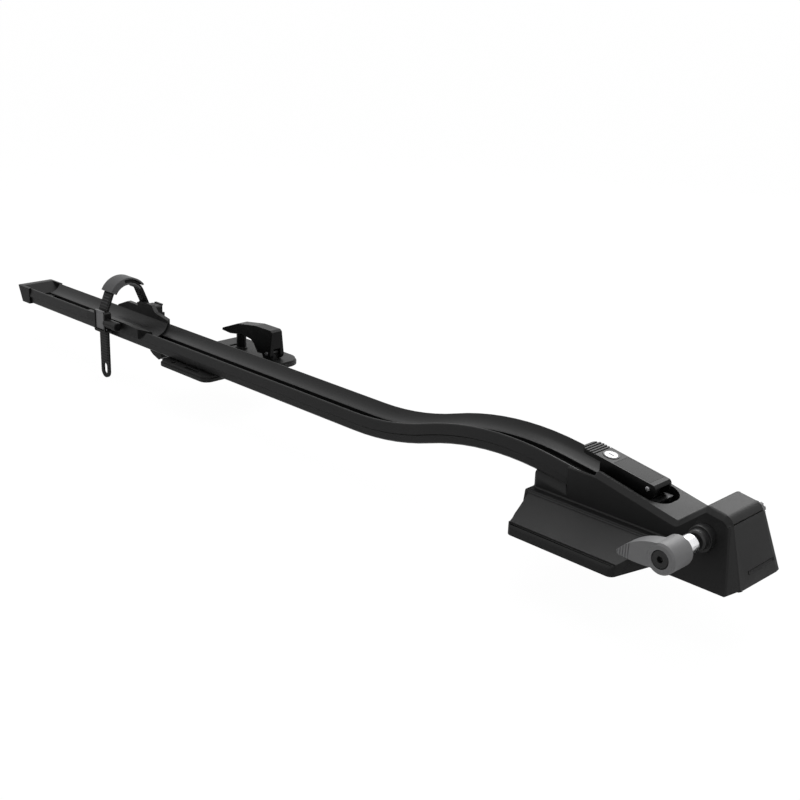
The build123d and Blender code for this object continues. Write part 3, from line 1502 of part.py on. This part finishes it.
with BuildPart() as near_buckle_pin:
    with BuildSketch(Plane.YZ.offset(strap_x)):
        with Locations((near_pin_y, buckle_pin_height)):
            Circle(buckle_pin_diameter / 2 - buckle_pin_step)
    extrude(amount=buckle_half_width, both=True)
save(near_buckle_pin, "near_buckle_pin")


# Far buckle, which anchors the strap's other end
tower_place = 15.0         # from the strap's middle to the tower
tower_length = 22.0
tower_height = 49.0
far_floor_height = 25.0
far_depth = 9.5
far_ear = 5.0              # ears that carry the lever's pin
far_ear_width = 3.0
far_lever_width = 18.0
far_lever_length = 17.0
far_pin_height = 33.0
tower_rear_x = strap_x + tower_place
tower_front_x = tower_rear_x + tower_length
far_inner_y = cradle_out + seat_gap
far_outer_y = far_inner_y + far_depth
far_pin_y = far_outer_y + near_lever_thickness / 2 + running_gap
far_lever_x = tower_front_x - far_lever_width / 2 - far_ear_width - running_gap

with BuildPart() as far_buckle:
    with BuildSketch(Plane.XZ.offset(-far_inner_y)) as far_side:
        fill([
            (strap_x - buckle_half_width, far_floor_height),
            (tower_front_x, far_floor_height),
            (tower_front_x, tower_height),
            (tower_rear_x, tower_height),
            (tower_rear_x - buckle_corner, buckle_top_height),
            (strap_x - buckle_half_width, buckle_top_height),
        ])
        fillet(corner(far_side, tower_front_x, tower_height), buckle_corner)
        fillet(corner(far_side, strap_x - buckle_half_width, buckle_top_height), buckle_corner)
    extrude(amount=-far_depth)
    with BuildSketch(Plane.XY.offset(strap_far_foot - buckle_throat_gap)):
        with Locations((strap_x, strap_far_y)):
            Rectangle(strap_width + 2 * buckle_throat_gap, strap_thickness + 2 * buckle_throat_gap)
    extrude(amount=tower_height, mode=Mode.SUBTRACT)
    for sign in (-1, 1):
        with BuildSketch(Plane.YZ.offset(far_lever_x + sign * (far_lever_width / 2 + running_gap))):
            with Locations((far_outer_y, far_pin_height)):
                Rectangle(far_ear, 2 * far_ear, align=(Align.MIN, Align.CENTER))
        extrude(amount=sign * far_ear_width)
    with BuildSketch(Plane.YZ.offset(far_lever_x)):
        with Locations((far_pin_y, far_pin_height)):
            Circle(buckle_pin_diameter / 2 - buckle_pin_step + shaft_gap)
    extrude(amount=far_lever_width, both=True, mode=Mode.SUBTRACT)
save(far_buckle, "far_buckle")

with BuildPart() as far_buckle_lever:
    with BuildSketch(Plane.YZ.offset(far_lever_x)):
        buckle_lever(far_pin_y, far_pin_height, 1, far_lever_length, near_lever_thickness)
        with Locations((far_pin_y, far_pin_height)):
            Circle(buckle_pin_diameter / 2 - buckle_pin_step + shaft_gap, mode=Mode.SUBTRACT)
    extrude(amount=far_lever_width / 2, both=True)
save(far_buckle_lever, "far_buckle_lever")

with BuildPart() as far_buckle_pin:
    with BuildSketch(Plane.YZ.offset(far_lever_x)):
        with Locations((far_pin_y, far_pin_height)):
            Circle(buckle_pin_diameter / 2 - buckle_pin_step)
    extrude(amount=far_lever_width / 2 + running_gap + far_ear_width, both=True)
save(far_buckle_pin, "far_buckle_pin")
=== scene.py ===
import json
from math import cos, radians, sin

import bpy
from mathutils import Matrix, Vector


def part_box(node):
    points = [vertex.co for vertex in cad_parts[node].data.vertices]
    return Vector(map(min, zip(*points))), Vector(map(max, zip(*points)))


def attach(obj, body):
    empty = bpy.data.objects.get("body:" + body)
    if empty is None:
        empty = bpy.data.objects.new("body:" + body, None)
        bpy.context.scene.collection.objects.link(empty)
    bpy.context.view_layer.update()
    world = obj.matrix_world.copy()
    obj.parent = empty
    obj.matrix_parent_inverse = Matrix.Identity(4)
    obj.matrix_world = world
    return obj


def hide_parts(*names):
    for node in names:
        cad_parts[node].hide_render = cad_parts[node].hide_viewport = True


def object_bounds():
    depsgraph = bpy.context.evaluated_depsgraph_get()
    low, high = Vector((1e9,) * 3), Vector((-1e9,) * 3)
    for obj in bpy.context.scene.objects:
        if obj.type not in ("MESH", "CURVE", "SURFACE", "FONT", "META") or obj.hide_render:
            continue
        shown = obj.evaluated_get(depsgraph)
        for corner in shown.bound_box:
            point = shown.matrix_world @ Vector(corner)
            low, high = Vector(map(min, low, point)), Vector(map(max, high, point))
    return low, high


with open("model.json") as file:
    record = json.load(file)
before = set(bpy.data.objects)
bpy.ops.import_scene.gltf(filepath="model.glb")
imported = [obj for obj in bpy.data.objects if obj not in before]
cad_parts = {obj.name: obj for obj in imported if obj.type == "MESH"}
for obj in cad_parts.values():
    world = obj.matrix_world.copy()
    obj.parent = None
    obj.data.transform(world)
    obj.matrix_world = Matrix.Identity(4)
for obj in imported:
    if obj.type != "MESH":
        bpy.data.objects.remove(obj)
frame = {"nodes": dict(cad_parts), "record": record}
cad_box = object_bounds()

mm = 0.001

# Camera, solved from the photograph's straight edges
photo_side = 800
focal_pixels = 1253.56
sensor_width = 36.0
camera_place = Vector((657.66, -992.65, 536.86)) * mm
camera_turn = radians(44.334)      # from +Y towards -X
camera_down = radians(19.128)
camera_roll = radians(2.073)
nearest_seen = 0.01
farthest_seen = 50


def aim_camera():
    """Adds the camera that frames the carrier as the photograph does."""
    bpy.ops.object.camera_add()
    camera = bpy.context.object
    forward = Vector((
        -sin(camera_turn) * cos(camera_down),
        cos(camera_turn) * cos(camera_down),
        -sin(camera_down),
    ))
    level_right = Vector((cos(camera_turn), sin(camera_turn), 0))
    level_up = level_right.cross(forward)
    right = level_right * cos(camera_roll) + level_up * sin(camera_roll)
    up = level_up * cos(camera_roll) - level_right * sin(camera_roll)
    turn = Matrix((right, up, -forward)).transposed().to_4x4()
    camera.matrix_world = Matrix.Translation(camera_place) @ turn
    camera.data.sensor_width = sensor_width
    camera.data.lens = focal_pixels / photo_side * sensor_width
    camera.data.clip_start = nearest_seen
    camera.data.clip_end = farthest_seen
    bpy.context.scene.camera = camera


aim_camera()
bpy.context.scene.view_settings.view_transform = "Standard"


class Wire:
    """A shader socket that can be added to and multiplied."""

    def __init__(self, finish, socket):
        self.finish = finish
        self.socket = socket

    def maths(self, operation, other):
        """The socket joined with a number or another wire by a math node."""
        return self.finish.node("ShaderNodeMath", {"operation": operation}, {0: self, 1: other})

    def __add__(self, other):
        return self.maths("ADD", other)

    def __mul__(self, other):
        return self.maths("MULTIPLY", other)


# Sockets of a colour mix node, by number, since several of them share a name
mix_factor, mix_first, mix_second = 0, 6, 7
mixed_colour = 2


class Finish:
    """A material being made, round one Principled shader."""

    def __init__(self, name):
        self.material = bpy.data.materials.new(name)
        self.material.use_nodes = True
        self.tree = self.material.node_tree
        self.shader = self.tree.nodes["Principled BSDF"]
        self.place = self.node("ShaderNodeTexCoord", {}, {}, "Object")

    def put(self, socket, value):
        """Links or writes a value into a socket."""
        if isinstance(value, Wire):
            self.tree.links.new(value.socket, socket)
        else:
            socket.default_value = value

    def node(self, kind, settings, inputs, output=0):
        """Adds any node, with its settings made first, and returns one of its outputs."""
        node = self.tree.nodes.new(kind)
        for name, value in settings.items():
            setattr(node, name, value)
        for name, value in inputs.items():
            self.put(node.inputs[name], value)
        return Wire(self, node.outputs[output])

    def stretched(self, scale):
        """Object coordinates, scaled along each axis."""
        return self.node("ShaderNodeMapping", {}, {"Vector": self.place, "Scale": scale})

    def noise(self, scale, detail, roughness=0.5, place=None):
        """Soft noise from 0 to 1, with its scale per metre."""
        return self.node(
            "ShaderNodeTexNoise",
            {},
            {"Vector": place or self.place, "Scale": scale, "Detail": detail, "Roughness": roughness},
        )

    def pebbles(self, scale):
        """Small rounded cells, as of spark-eroded plastic."""
        return self.node("ShaderNodeTexVoronoi", {}, {"Vector": self.place, "Scale": scale})

    def between(self, wire, low, high, start=0.0, end=1.0):
        """A value spread from low to high as the wire goes from start to end."""
        return self.node(
            "ShaderNodeMapRange",
            {"clamp": True},
            {"Value": wire, "From Min": start, "From Max": end, "To Min": low, "To Max": high},
        )

    def blend(self, mask, first, second):
        """One colour going over into another by a mask."""
        inputs = {mix_factor: mask, mix_first: first, mix_second: second}
        return self.node("ShaderNodeMix", {"data_type": "RGBA"}, inputs, mixed_colour)

    def relief(self, height, depth, strength):
        """Small hills and hollows of a depth in metres."""
        bump = self.node("ShaderNodeBump", {}, {"Height": height, "Distance": depth, "Strength": strength})
        self.put(self.shader.inputs["Normal"], bump)

    def wear(self, **values):
        """Sets the shader's sockets by name, with underscores for spaces."""
        for name, value in values.items():
            self.put(self.shader.inputs[name.replace("_", " ")], value)


blue_share = 1.02      # every grey is very slightly cool


def grey(level):
    return (level, level, level * blue_share, 1)


def anodised_black():
    """Satin black anodising over extruded aluminium, with faint drawn lines along it."""
    finish = Finish("anodised_black")
    along_tray = finish.stretched((9, 1100, 1100))
    drawn = finish.noise(scale=1.0, detail=4.0, roughness=0.6, place=along_tray)
    cloud = finish.noise(scale=14.0, detail=3.0)
    cloud_share = 0.5
    finish.wear(
        Base_Color=finish.blend(cloud, grey(0.01), grey(0.015)),
        Metallic=0.2,
        Specular_IOR_Level=0.28,
        Roughness=finish.between(drawn + cloud * cloud_share, low=0.3, high=0.4, start=0.4, end=1.1),
    )
    finish.relief(drawn, depth=0.03 * mm, strength=0.5)
    return finish.material


def moulded_black(name, level, roughness, grain_size, depth, sheen):
    """Black plastic with a fine moulded grain and faint flow marks."""
    darker_share = 0.85
    lighter_share = 1.2
    roughness_spread = 0.06
    fine_count = 2.2       # fine marks to one grain
    fine_share = 0.6
    fine_relief = 0.7
    finish = Finish(name)
    grain = finish.pebbles(1 / grain_size)
    fine = finish.noise(scale=fine_count / grain_size, detail=2.0)
    cloud = finish.noise(scale=9.0, detail=4.0)
    finish.wear(
        Base_Color=finish.blend(cloud, grey(level * darker_share), grey(level * lighter_share)),
        Roughness=finish.between(
            cloud + fine * fine_share,
            low=roughness - roughness_spread,
            high=roughness + roughness_spread,
            start=0.5,
            end=1.1,
        ),
        Specular_IOR_Level=sheen,
    )
    finish.relief(grain + fine * fine_relief, depth=depth, strength=0.6)
    return finish.material


tooth_pitch = 4 * mm
tooth_shift = 0.35      # share of a pitch by which the bands are moved


def black_with_painted_tooth_shade():
    """The strap's black, with painted shade and painted highlight in bands by height that follow the teeth
    of its upright legs.
    """
    scuff_floor = 0.3
    scuff_relief = 0.1
    finish = Finish("black_with_painted_tooth_shade")
    height = finish.node("ShaderNodeSeparateXYZ", {}, {"Vector": finish.place}, "Z")
    count = height * (1 / tooth_pitch) + tooth_shift
    tooth = finish.node("ShaderNodeMath", {"operation": "FRACT"}, {0: count})
    tooth_shade_ramp = finish.between(tooth, low=0.0, high=1.0, start=0.35, end=0.6)
    scuff = finish.noise(scale=260.0, detail=3.0)
    finish.wear(
        # Painted shade and painted highlight: each tooth's band goes from dark to lighter base colour,
        # varied by the scuff noise
        Base_Color=finish.blend(tooth_shade_ramp * (scuff + scuff_floor), grey(0.002), grey(0.022)),
        Roughness=finish.between(tooth_shade_ramp, low=0.55, high=0.34),
        Specular_IOR_Level=0.2,
    )
    finish.relief(tooth_shade_ramp + scuff * scuff_relief, depth=0.3 * mm, strength=0.8)
    return finish.material


def polished_black():
    """The lever's bare name plate."""
    finish = Finish("polished_black")
    smear = finish.noise(scale=60.0, detail=5.0)
    finish.wear(
        Base_Color=grey(0.006),
        Roughness=finish.between(smear, low=0.12, high=0.24, start=0.35, end=0.7),
        Specular_IOR_Level=0.06,
    )
    return finish.material


def moulded_grey(name, level, roughness):
    """Mid grey plastic with a fine grain, a little darker in its flow marks."""
    darker_share = 0.86
    lighter_share = 1.12
    smoother_by = 0.05
    rougher_by = 0.07
    cloud_share = 0.7
    fleck_share = 0.3
    fleck_relief = 0.5
    finish = Finish(name)
    grain = finish.pebbles(scale=2600)
    cloud = finish.noise(scale=24.0, detail=4.0)
    fleck = finish.noise(scale=900.0, detail=2.0)
    marks = cloud * cloud_share + fleck * fleck_share
    finish.wear(
        Base_Color=finish.blend(marks, grey(level * darker_share), grey(level * lighter_share)),
        Roughness=finish.between(cloud, low=roughness - smoother_by, high=roughness + rougher_by),
    )
    finish.relief(grain + fleck * fleck_relief, depth=0.05 * mm, strength=0.5)
    return finish.material


def rubber(name, level):
    """Matt rubber with a soft bloom and fine pores."""
    darker_share = 0.8
    lighter_share = 1.25
    finish = Finish(name)
    bloom = finish.noise(scale=30.0, detail=5.0, roughness=0.6)
    pores = finish.noise(scale=1600.0, detail=2.0)
    finish.wear(
        Base_Color=finish.blend(bloom, grey(level * darker_share), grey(level * lighter_share)),
        Roughness=finish.between(bloom, low=0.62, high=0.8),
    )
    finish.relief(pores, depth=0.06 * mm, strength=0.5)
    return finish.material


drawn_lines = (900, 60, 900)
turned_lines = (60, 2600, 60)


def plated_steel(name, level, roughness, lines_scale=drawn_lines):
    """Plated steel with the fine lines of turning or drawing."""
    darker_share = 0.9
    smoother_share = 0.7
    rougher_share = 1.3
    finish = Finish(name)
    lines = finish.noise(scale=1.0, detail=3.0, roughness=0.6, place=finish.stretched(lines_scale))
    cloud = finish.noise(scale=40.0, detail=3.0)
    finish.wear(
        Base_Color=finish.blend(cloud, grey(level * darker_share), grey(level)),
        Metallic=1.0,
        Roughness=finish.between(lines, low=roughness * smoother_share, high=roughness * rougher_share),
    )
    finish.relief(lines, depth=0.02 * mm, strength=0.35)
    return finish.material


def coated_steel():
    """Steel under a black powder coat."""
    finish = Finish("coated_steel")
    peel = finish.noise(scale=420.0, detail=2.0)
    cloud = finish.noise(scale=20.0, detail=4.0)
    finish.wear(
        Base_Color=finish.blend(cloud, grey(0.012), grey(0.02)),
        Roughness=finish.between(cloud, low=0.3, high=0.42),
        Specular_IOR_Level=0.35,
    )
    finish.relief(peel, depth=0.08 * mm, strength=0.4)
    return finish.material


finishes = {
    "black_aluminium": anodised_black(),
    "black_plastic": moulded_black(
        "moulded_black", level=0.005, roughness=0.42, grain_size=0.6 * mm, depth=0.06 * mm, sheen=0.2
    ),
    "textured_plastic": moulded_black(
        "spark_textured_black", level=0.0055, roughness=0.46, grain_size=0.8 * mm, depth=0.1 * mm, sheen=0.24
    ),
    "lever_plastic": moulded_black(
        "satin_black", level=0.0045, roughness=0.34, grain_size=0.5 * mm, depth=0.03 * mm, sheen=0.13
    ),
    "gloss_black": polished_black(),
    "grey_plastic": moulded_grey("moulded_grey", level=0.19, roughness=0.45),
    "grey_rubber": moulded_grey("sleeve_grey", level=0.085, roughness=0.6),
    "strap_plastic": black_with_painted_tooth_shade(),
    "rubber": rubber("pad_rubber", level=0.012),
    "steel": plated_steel("plated_steel", level=0.55, roughness=0.34),
    "bright_steel": plated_steel("bright_plated_steel", level=0.9, roughness=0.2, lines_scale=turned_lines),
    "dark_steel": coated_steel(),
    "lock_white": plated_steel("lock_face", level=0.6, roughness=0.55),
}
# The seat deep in the lever's well gets a darker copy of the plated steel as painted shade, since little
# light falls there
seat_steel_painted_shade = plated_steel("steel_with_painted_shade", level=0.07, roughness=0.4)


# Finishes and softened edges of the CAD nodes
edge_rounds = {
    "clamp_lever": 0.8 * mm,
    "tray_end_cap": 0.6 * mm,
    "near_buckle": 0.6 * mm,
    "near_buckle_lever": 0.6 * mm,
    "far_buckle": 0.6 * mm,
    "far_buckle_lever": 0.6 * mm,
    "skewer_lever": 0.9 * mm,
    "skewer_nut": 0.4 * mm,
    "skewer_bolt": 0.4 * mm,
    "skewer_collar": 0.3 * mm,
    "fork_boss_near": 0.4 * mm,
    "fork_boss_far": 0.4 * mm,
    "tray_stop": 0.6 * mm,
    "lock_housing": 0.2 * mm,
    "lever_name_plate": 0.2 * mm,
}
sharp_turn = radians(31)
flat_turn = radians(0.8)
weld_reach = 0.01 * mm


def add_bevel(piece, width, segments):
    """Adds a modifier that rounds a piece's sharp edges."""
    bevel = piece.modifiers.new("rounded_edges", "BEVEL")
    bevel.width = width
    bevel.segments = segments
    bevel.limit_method = "ANGLE"
    bevel.angle_limit = sharp_turn
    return bevel


def add_even_normals(piece):
    """Adds a modifier that keeps a piece's large faces evenly shaded up to their rounds."""
    normals = piece.modifiers.new("even_normals", "WEIGHTED_NORMAL")
    normals.keep_sharp = True
    return normals


def soften(node, width):
    """Rounds a node's sharp edges with modifiers, which leave its mesh as it is."""
    weld = node.modifiers.new("weld", "WELD")
    weld.merge_threshold = weld_reach
    merged = node.modifiers.new("flat_faces", "DECIMATE")
    merged.decimate_type = "DISSOLVE"
    merged.angle_limit = flat_turn
    add_bevel(node, width, segments=2)
    add_even_normals(node)


for sub_part in frame["record"]["subparts"]:
    node = frame["nodes"][sub_part["node"]]
    node.data.materials.clear()
    node.data.materials.append(finishes[sub_part["material_slot"]])
    if sub_part["node"] in edge_rounds:
        soften(node, edge_rounds[sub_part["node"]])
# The cam seat takes the darker steel, which is painted shade
frame["nodes"]["cam_seat"].data.materials[0] = seat_steel_painted_shade


def pick(piece):
    """Makes a piece the only selected object, and the active one."""
    bpy.ops.object.select_all(action="DESELECT")
    bpy.context.view_layer.objects.active = piece
    piece.select_set(True)


def copy_of(node_name, name):
    """A merged copy of a CAD node's mesh, as a piece that can be worked on."""
    piece = bpy.data.objects.new(name, frame["nodes"][node_name].data.copy())
    bpy.context.collection.objects.link(piece)
    pick(piece)
    bpy.ops.object.mode_set(mode="EDIT")
    bpy.ops.mesh.select_all(action="SELECT")
    bpy.ops.mesh.remove_doubles(threshold=weld_reach)
    bpy.ops.mesh.dissolve_limited(angle_limit=flat_turn)
    bpy.ops.mesh.normals_make_consistent(inside=False)
    bpy.ops.object.mode_set(mode="OBJECT")
    return piece


def round_off(piece, width, segments=3):
    """Rounds a piece's sharp edges for good."""
    bevel = add_bevel(piece, width, segments)
    bpy.context.view_layer.objects.active = piece
    bpy.ops.object.modifier_apply(modifier=bevel.name)
    bpy.ops.object.shade_smooth_by_angle(angle=sharp_turn)
    normals = add_even_normals(piece)
    bpy.ops.object.modifier_apply(modifier=normals.name)


def finished_piece(piece, node_name, slot, body):
    """Gives a piece its finish and its body, and hides the CAD node it stands for."""
    piece.data.materials.clear()
    piece.data.materials.append(finishes[slot])
    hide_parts(node_name)
    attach(piece, body)


def soft_piece(node_name, name, width, slot, body):
    """Replaces a soft CAD solid with its rounded form in its own finish."""
    piece = copy_of(node_name, name)
    round_off(piece, width)
    finished_piece(piece, node_name, slot, body)
    return piece


def sharp_edges(piece, wanted):
    """Selects a piece's sharp edges whose middle and length are wanted, for an edit-mode tool."""
    pick(piece)
    bpy.ops.object.mode_set(mode="EDIT")
    bpy.ops.mesh.select_mode(type="EDGE")
    bpy.ops.mesh.select_all(action="DESELECT")
    bpy.ops.mesh.edges_select_sharp(sharpness=sharp_turn)
    bpy.ops.object.mode_set(mode="OBJECT")
    corners = piece.data.vertices
    for edge in piece.data.edges:
        if edge.select:
            first, second = (corners[number].co for number in edge.vertices)
            edge.select = wanted((first + second) / 2, (second - first).length)
    bpy.ops.object.mode_set(mode="EDIT")


# The head's moulding, with the full rounds of its nose and its wings' rims
head_low, head_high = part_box("head_shell")
foot_margin = 4 * mm
nose_rear_x = 100 * mm
nose_foot_z = head_low.z + foot_margin
nose_inner_y = 20 * mm         # edges nearer the middle keep the small round
nose_upper_z = 55 * mm
nose_outer_y = 33 * mm
rim_inner_y = 84 * mm
rim_foot_z = 6 * mm
short_edge = 5 * mm
full_round = 1.8 * mm
full_round_segments = 4
small_round = 0.5 * mm


def nose_or_rim(middle, length):
    """Whether a sharp edge lies on the nose's outer corners or on a wing's rim."""
    side = abs(middle.y)
    on_corner = middle.z > nose_upper_z or side > nose_outer_y
    on_nose = middle.x > nose_rear_x and middle.z > nose_foot_z and side > nose_inner_y
    on_rim = side > rim_inner_y and middle.z > rim_foot_z
    return length > short_edge and (on_nose and on_corner or on_rim)


head_moulding = copy_of("head_shell", "head_moulding")
sharp_edges(head_moulding, nose_or_rim)
bpy.ops.mesh.bevel(
    offset=full_round, offset_type="OFFSET", segments=full_round_segments, profile=0.5, affect="EDGES"
)
bpy.ops.object.mode_set(mode="OBJECT")
round_off(head_moulding, small_round, segments=2)

# Where bevels meet, some corners end up past the front face or below the foot, and are moved back
face_slope = 0.2609        # how far the front face leans back as it rises
facet_slope = 0.165        # how far the facet beside it falls back towards the near side
crease_foot_y = -19 * mm
crease_slope = 0.122       # how far the crease between them moves outward as it rises
facet_top = 60 * mm
for vertex in head_moulding.data.vertices:
    rise = vertex.co.z - head_low.z
    past_crease = max(0.0, crease_foot_y - rise * crease_slope - vertex.co.y)
    if vertex.co.z < facet_top:
        face_x = head_high.x - rise * face_slope - past_crease * facet_slope
        vertex.co.x = min(vertex.co.x, face_x)
    vertex.co.z = max(vertex.co.z, head_low.z)
finished_piece(head_moulding, "head_shell", "textured_plastic", "carrier")


# The tray, with the full mouths of its slots and the full depth of its side grooves
slot_mouth = (4.5 * mm, 6.2 * mm)      # from the middle, as in the solid and as drawn here
side_groove = (25.75 * mm, 24.6 * mm)
place_match = 0.05 * mm
tray_round = 0.35 * mm

tray = copy_of("wheel_tray", "tray_extrusion")
for vertex in tray.data.vertices:
    for solid_y, drawn_y in (slot_mouth, side_groove):
        if abs(abs(vertex.co.y) - solid_y) < place_match:
            vertex.co.y *= drawn_y / solid_y
round_off(tray, tray_round, segments=2)
finished_piece(tray, "wheel_tray", "black_aluminium", "carrier")


def cut_across(piece, x):
    """Cuts a piece's faces along a plane across the carrier, which adds corners there."""
    pick(piece)
    bpy.ops.object.mode_set(mode="EDIT")
    bpy.ops.mesh.select_all(action="SELECT")
    bpy.ops.mesh.bisect(plane_co=(x, 0, 0), plane_no=(1, 0, 0))
    bpy.ops.object.mode_set(mode="OBJECT")


def share_between(value, start, end):
    """How far a value has gone from a start to an end, from 0 to 1."""
    return min(1.0, max(0.0, (value - start) / (end - start)))


# Rear lever: an arch under its grip, which is narrower than its prongs
lever_low, lever_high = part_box("rear_lever")
lever_middle_y = (lever_low.y + lever_high.y) / 2
arch_places = (      # back from the lever's front, and the arch's height there
    (54 * mm, 32.2 * mm),
    (45 * mm, 31.2 * mm),
    (37 * mm, 27.0 * mm),
)
arch_top = 34 * mm
grip_foot = 24 * mm
grip_full = 38 * mm
grip_share = 0.72
crown_foot = 40 * mm
crown_share = 0.72
grip_round = 1.1 * mm

rear_grip = copy_of("rear_lever", "rear_grip_lever")
for back, height in arch_places:
    cut_across(rear_grip, lever_high.x - back)
    for vertex in rear_grip.data.vertices:
        if abs(vertex.co.x - lever_high.x + back) < place_match and vertex.co.z < arch_top:
            vertex.co.z = height
for vertex in rear_grip.data.vertices:
    narrowing = 1 - (1 - grip_share) * share_between(vertex.co.z, grip_foot, grip_full)
    vertex.co.y = lever_middle_y + (vertex.co.y - lever_middle_y) * narrowing
    if vertex.co.z > crown_foot:
        vertex.co.z = crown_foot + (vertex.co.z - crown_foot) * crown_share
round_off(rear_grip, grip_round)
finished_piece(rear_grip, "rear_lever", "lever_plastic", "rear_clamp_lever")


# The oval leg under the lever's grip
leg_low, leg_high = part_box("rear_post")
leg_middle = (leg_low + leg_high) / 2
leg_length_share = 1.75
leg_width_share = 1.45
leg_round = 0.6 * mm

rear_leg = copy_of("rear_post", "rear_leg")
for vertex in rear_leg.data.vertices:
    vertex.co.x = leg_middle.x + (vertex.co.x - leg_middle.x) * leg_length_share
    vertex.co.y = leg_middle.y + (vertex.co.y - leg_middle.y) * leg_width_share
round_off(rear_leg, leg_round)
finished_piece(rear_leg, "rear_post", "black_plastic", "rear_foot")


# The rear foot's plate, with its wide corner at the far front
plate_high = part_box("rear_base_plate")[1]
solid_corner = 12 * mm
drawn_corner = 25 * mm
front_inset = 6 * mm
front_corners_x = plate_high.x - solid_corner
far_corner_y = plate_high.y - solid_corner
plate_round = 0.7 * mm

foot_plate = copy_of("rear_base_plate", "rear_foot_plate")
for vertex in foot_plate.data.vertices:
    if vertex.co.x > front_corners_x - place_match:
        if vertex.co.y > far_corner_y - place_match:
            reach = Vector((vertex.co.x - front_corners_x, vertex.co.y - far_corner_y))
            reach += reach.normalized() * (drawn_corner - solid_corner)
            vertex.co.x = plate_high.x - drawn_corner + reach.x
            vertex.co.y = plate_high.y - drawn_corner + reach.y
        vertex.co.x -= front_inset
round_off(foot_plate, plate_round)
finished_piece(foot_plate, "rear_base_plate", "textured_plastic", "rear_foot")


# The cradle, whose near skirt ends short of its front
cradle_front_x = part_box("wheel_cradle")[1].x
skirt_y = -28.9 * mm
skirt_front_reach = 12 * mm            # how near the front edge the moved corners lie
skirt_cut = 30 * mm
cradle_round = 0.5 * mm

cradle = copy_of("wheel_cradle", "tyre_cradle")
for vertex in cradle.data.vertices:
    if vertex.co.y < skirt_y and vertex.co.x > cradle_front_x - skirt_front_reach:
        vertex.co.x -= skirt_cut
round_off(cradle, cradle_round, segments=2)
finished_piece(cradle, "wheel_cradle", "textured_plastic", "cradle")


# Soft pieces: the strap, and four firm pads
soft_piece("wheel_strap", "toothed_strap", 0.35 * mm, "strap_plastic", "cradle")
pads = (      # node, piece, round, slot and body
    ("strap_pad", "rim_sleeve", 0.7 * mm, "grey_rubber", "cradle"),
    ("front_pad_near", "front_pad_near_rubber", 0.5 * mm, "rubber", "carrier"),
    ("front_pad_far", "front_pad_far_rubber", 0.5 * mm, "rubber", "carrier"),
    ("rear_pad", "rear_pad_rubber", 0.3 * mm, "rubber", "rear_foot"),
)
for pad in pads:
    soft_piece(*pad)


# Surroundings
floor_drop = 0.4 * mm
floor_side = 40
floor_grey = 0.75
glow_strength = 1.05
camera_share = 0.93        # how much of the glow a camera ray sees, and the rest is the lit floor
glossy_share = 0.12
unseen_light = 0.3         # the world's level for the light that it casts
seen_light = 1.0           # and for the camera and reflections


def lay_floor():
    """A pale floor that shows the photograph's white and still takes a shadow."""
    bpy.ops.object.select_all(action="DESELECT")
    bpy.ops.mesh.primitive_plane_add(size=floor_side, location=(0, 0, cad_box[0].z - floor_drop))
    floor = bpy.context.object
    floor.name = "floor"
    finish = Finish("floor_white")
    finish.wear(Base_Color=(floor_grey, floor_grey, floor_grey, 1), Roughness=0.8)
    path = finish.tree.nodes.new("ShaderNodeLightPath")
    camera_ray = Wire(finish, path.outputs["Is Camera Ray"])
    glossy_ray = Wire(finish, path.outputs["Is Glossy Ray"])
    clear_ray = Wire(finish, path.outputs["Is Transmission Ray"])
    glow = finish.node("ShaderNodeEmission", {}, {"Color": (1, 1, 1, 1), "Strength": glow_strength})
    seen = finish.node("ShaderNodeMixShader", {}, {
        0: camera_ray * camera_share + glossy_ray * glossy_share + clear_ray,
        1: Wire(finish, finish.shader.outputs[0]),
        2: glow,
    })
    finish.put(finish.tree.nodes["Material Output"].inputs["Surface"], seen)
    floor.data.materials.append(finish.material)


def light_world():
    """Even pale light from all round, white where the camera or a reflection sees it."""
    world = bpy.data.worlds.new("studio")
    bpy.context.scene.world = world
    world.use_nodes = True
    tree = world.node_tree
    path = tree.nodes.new("ShaderNodeLightPath")
    level = tree.nodes.new("ShaderNodeMapRange")
    level.inputs["To Min"].default_value = unseen_light
    level.inputs["To Max"].default_value = seen_light
    seen = path.outputs["Is Camera Ray"]
    for ray in ("Is Glossy Ray", "Is Transmission Ray"):
        either = tree.nodes.new("ShaderNodeMath")
        either.operation = "MAXIMUM"
        tree.links.new(seen, either.inputs[0])
        tree.links.new(path.outputs[ray], either.inputs[1])
        seen = either.outputs[0]
    tree.links.new(seen, level.inputs["Value"])
    tree.links.new(level.outputs[0], tree.nodes["Background"].inputs["Strength"])
    tree.nodes["Background"].inputs["Color"].default_value = (1, 1, 1, 1)


def add_lamp(name, place, target, size, power):
    """A soft square lamp that looks at a place, in metres and watts."""
    bpy.ops.object.light_add(type="AREA", location=place)
    lamp = bpy.context.object
    lamp.name = name
    lamp.data.size = size
    lamp.data.energy = power
    lamp.rotation_euler = (Vector(target) - Vector(place)).to_track_quat("-Z", "Y").to_euler()


lay_floor()
light_world()
add_lamp("overhead", place=(-0.35, 0.35, 1.7), target=(-0.4, 0, 0), size=1.6, power=14)
add_lamp("front_side", place=(1.2, -1.4, 1.1), target=(-0.3, 0, 0), size=1.0, power=2)
add_lamp("back_softbox", place=(-0.56, 1.75, 1.2), target=(0, 0, 0.05), size=1.2, power=14)
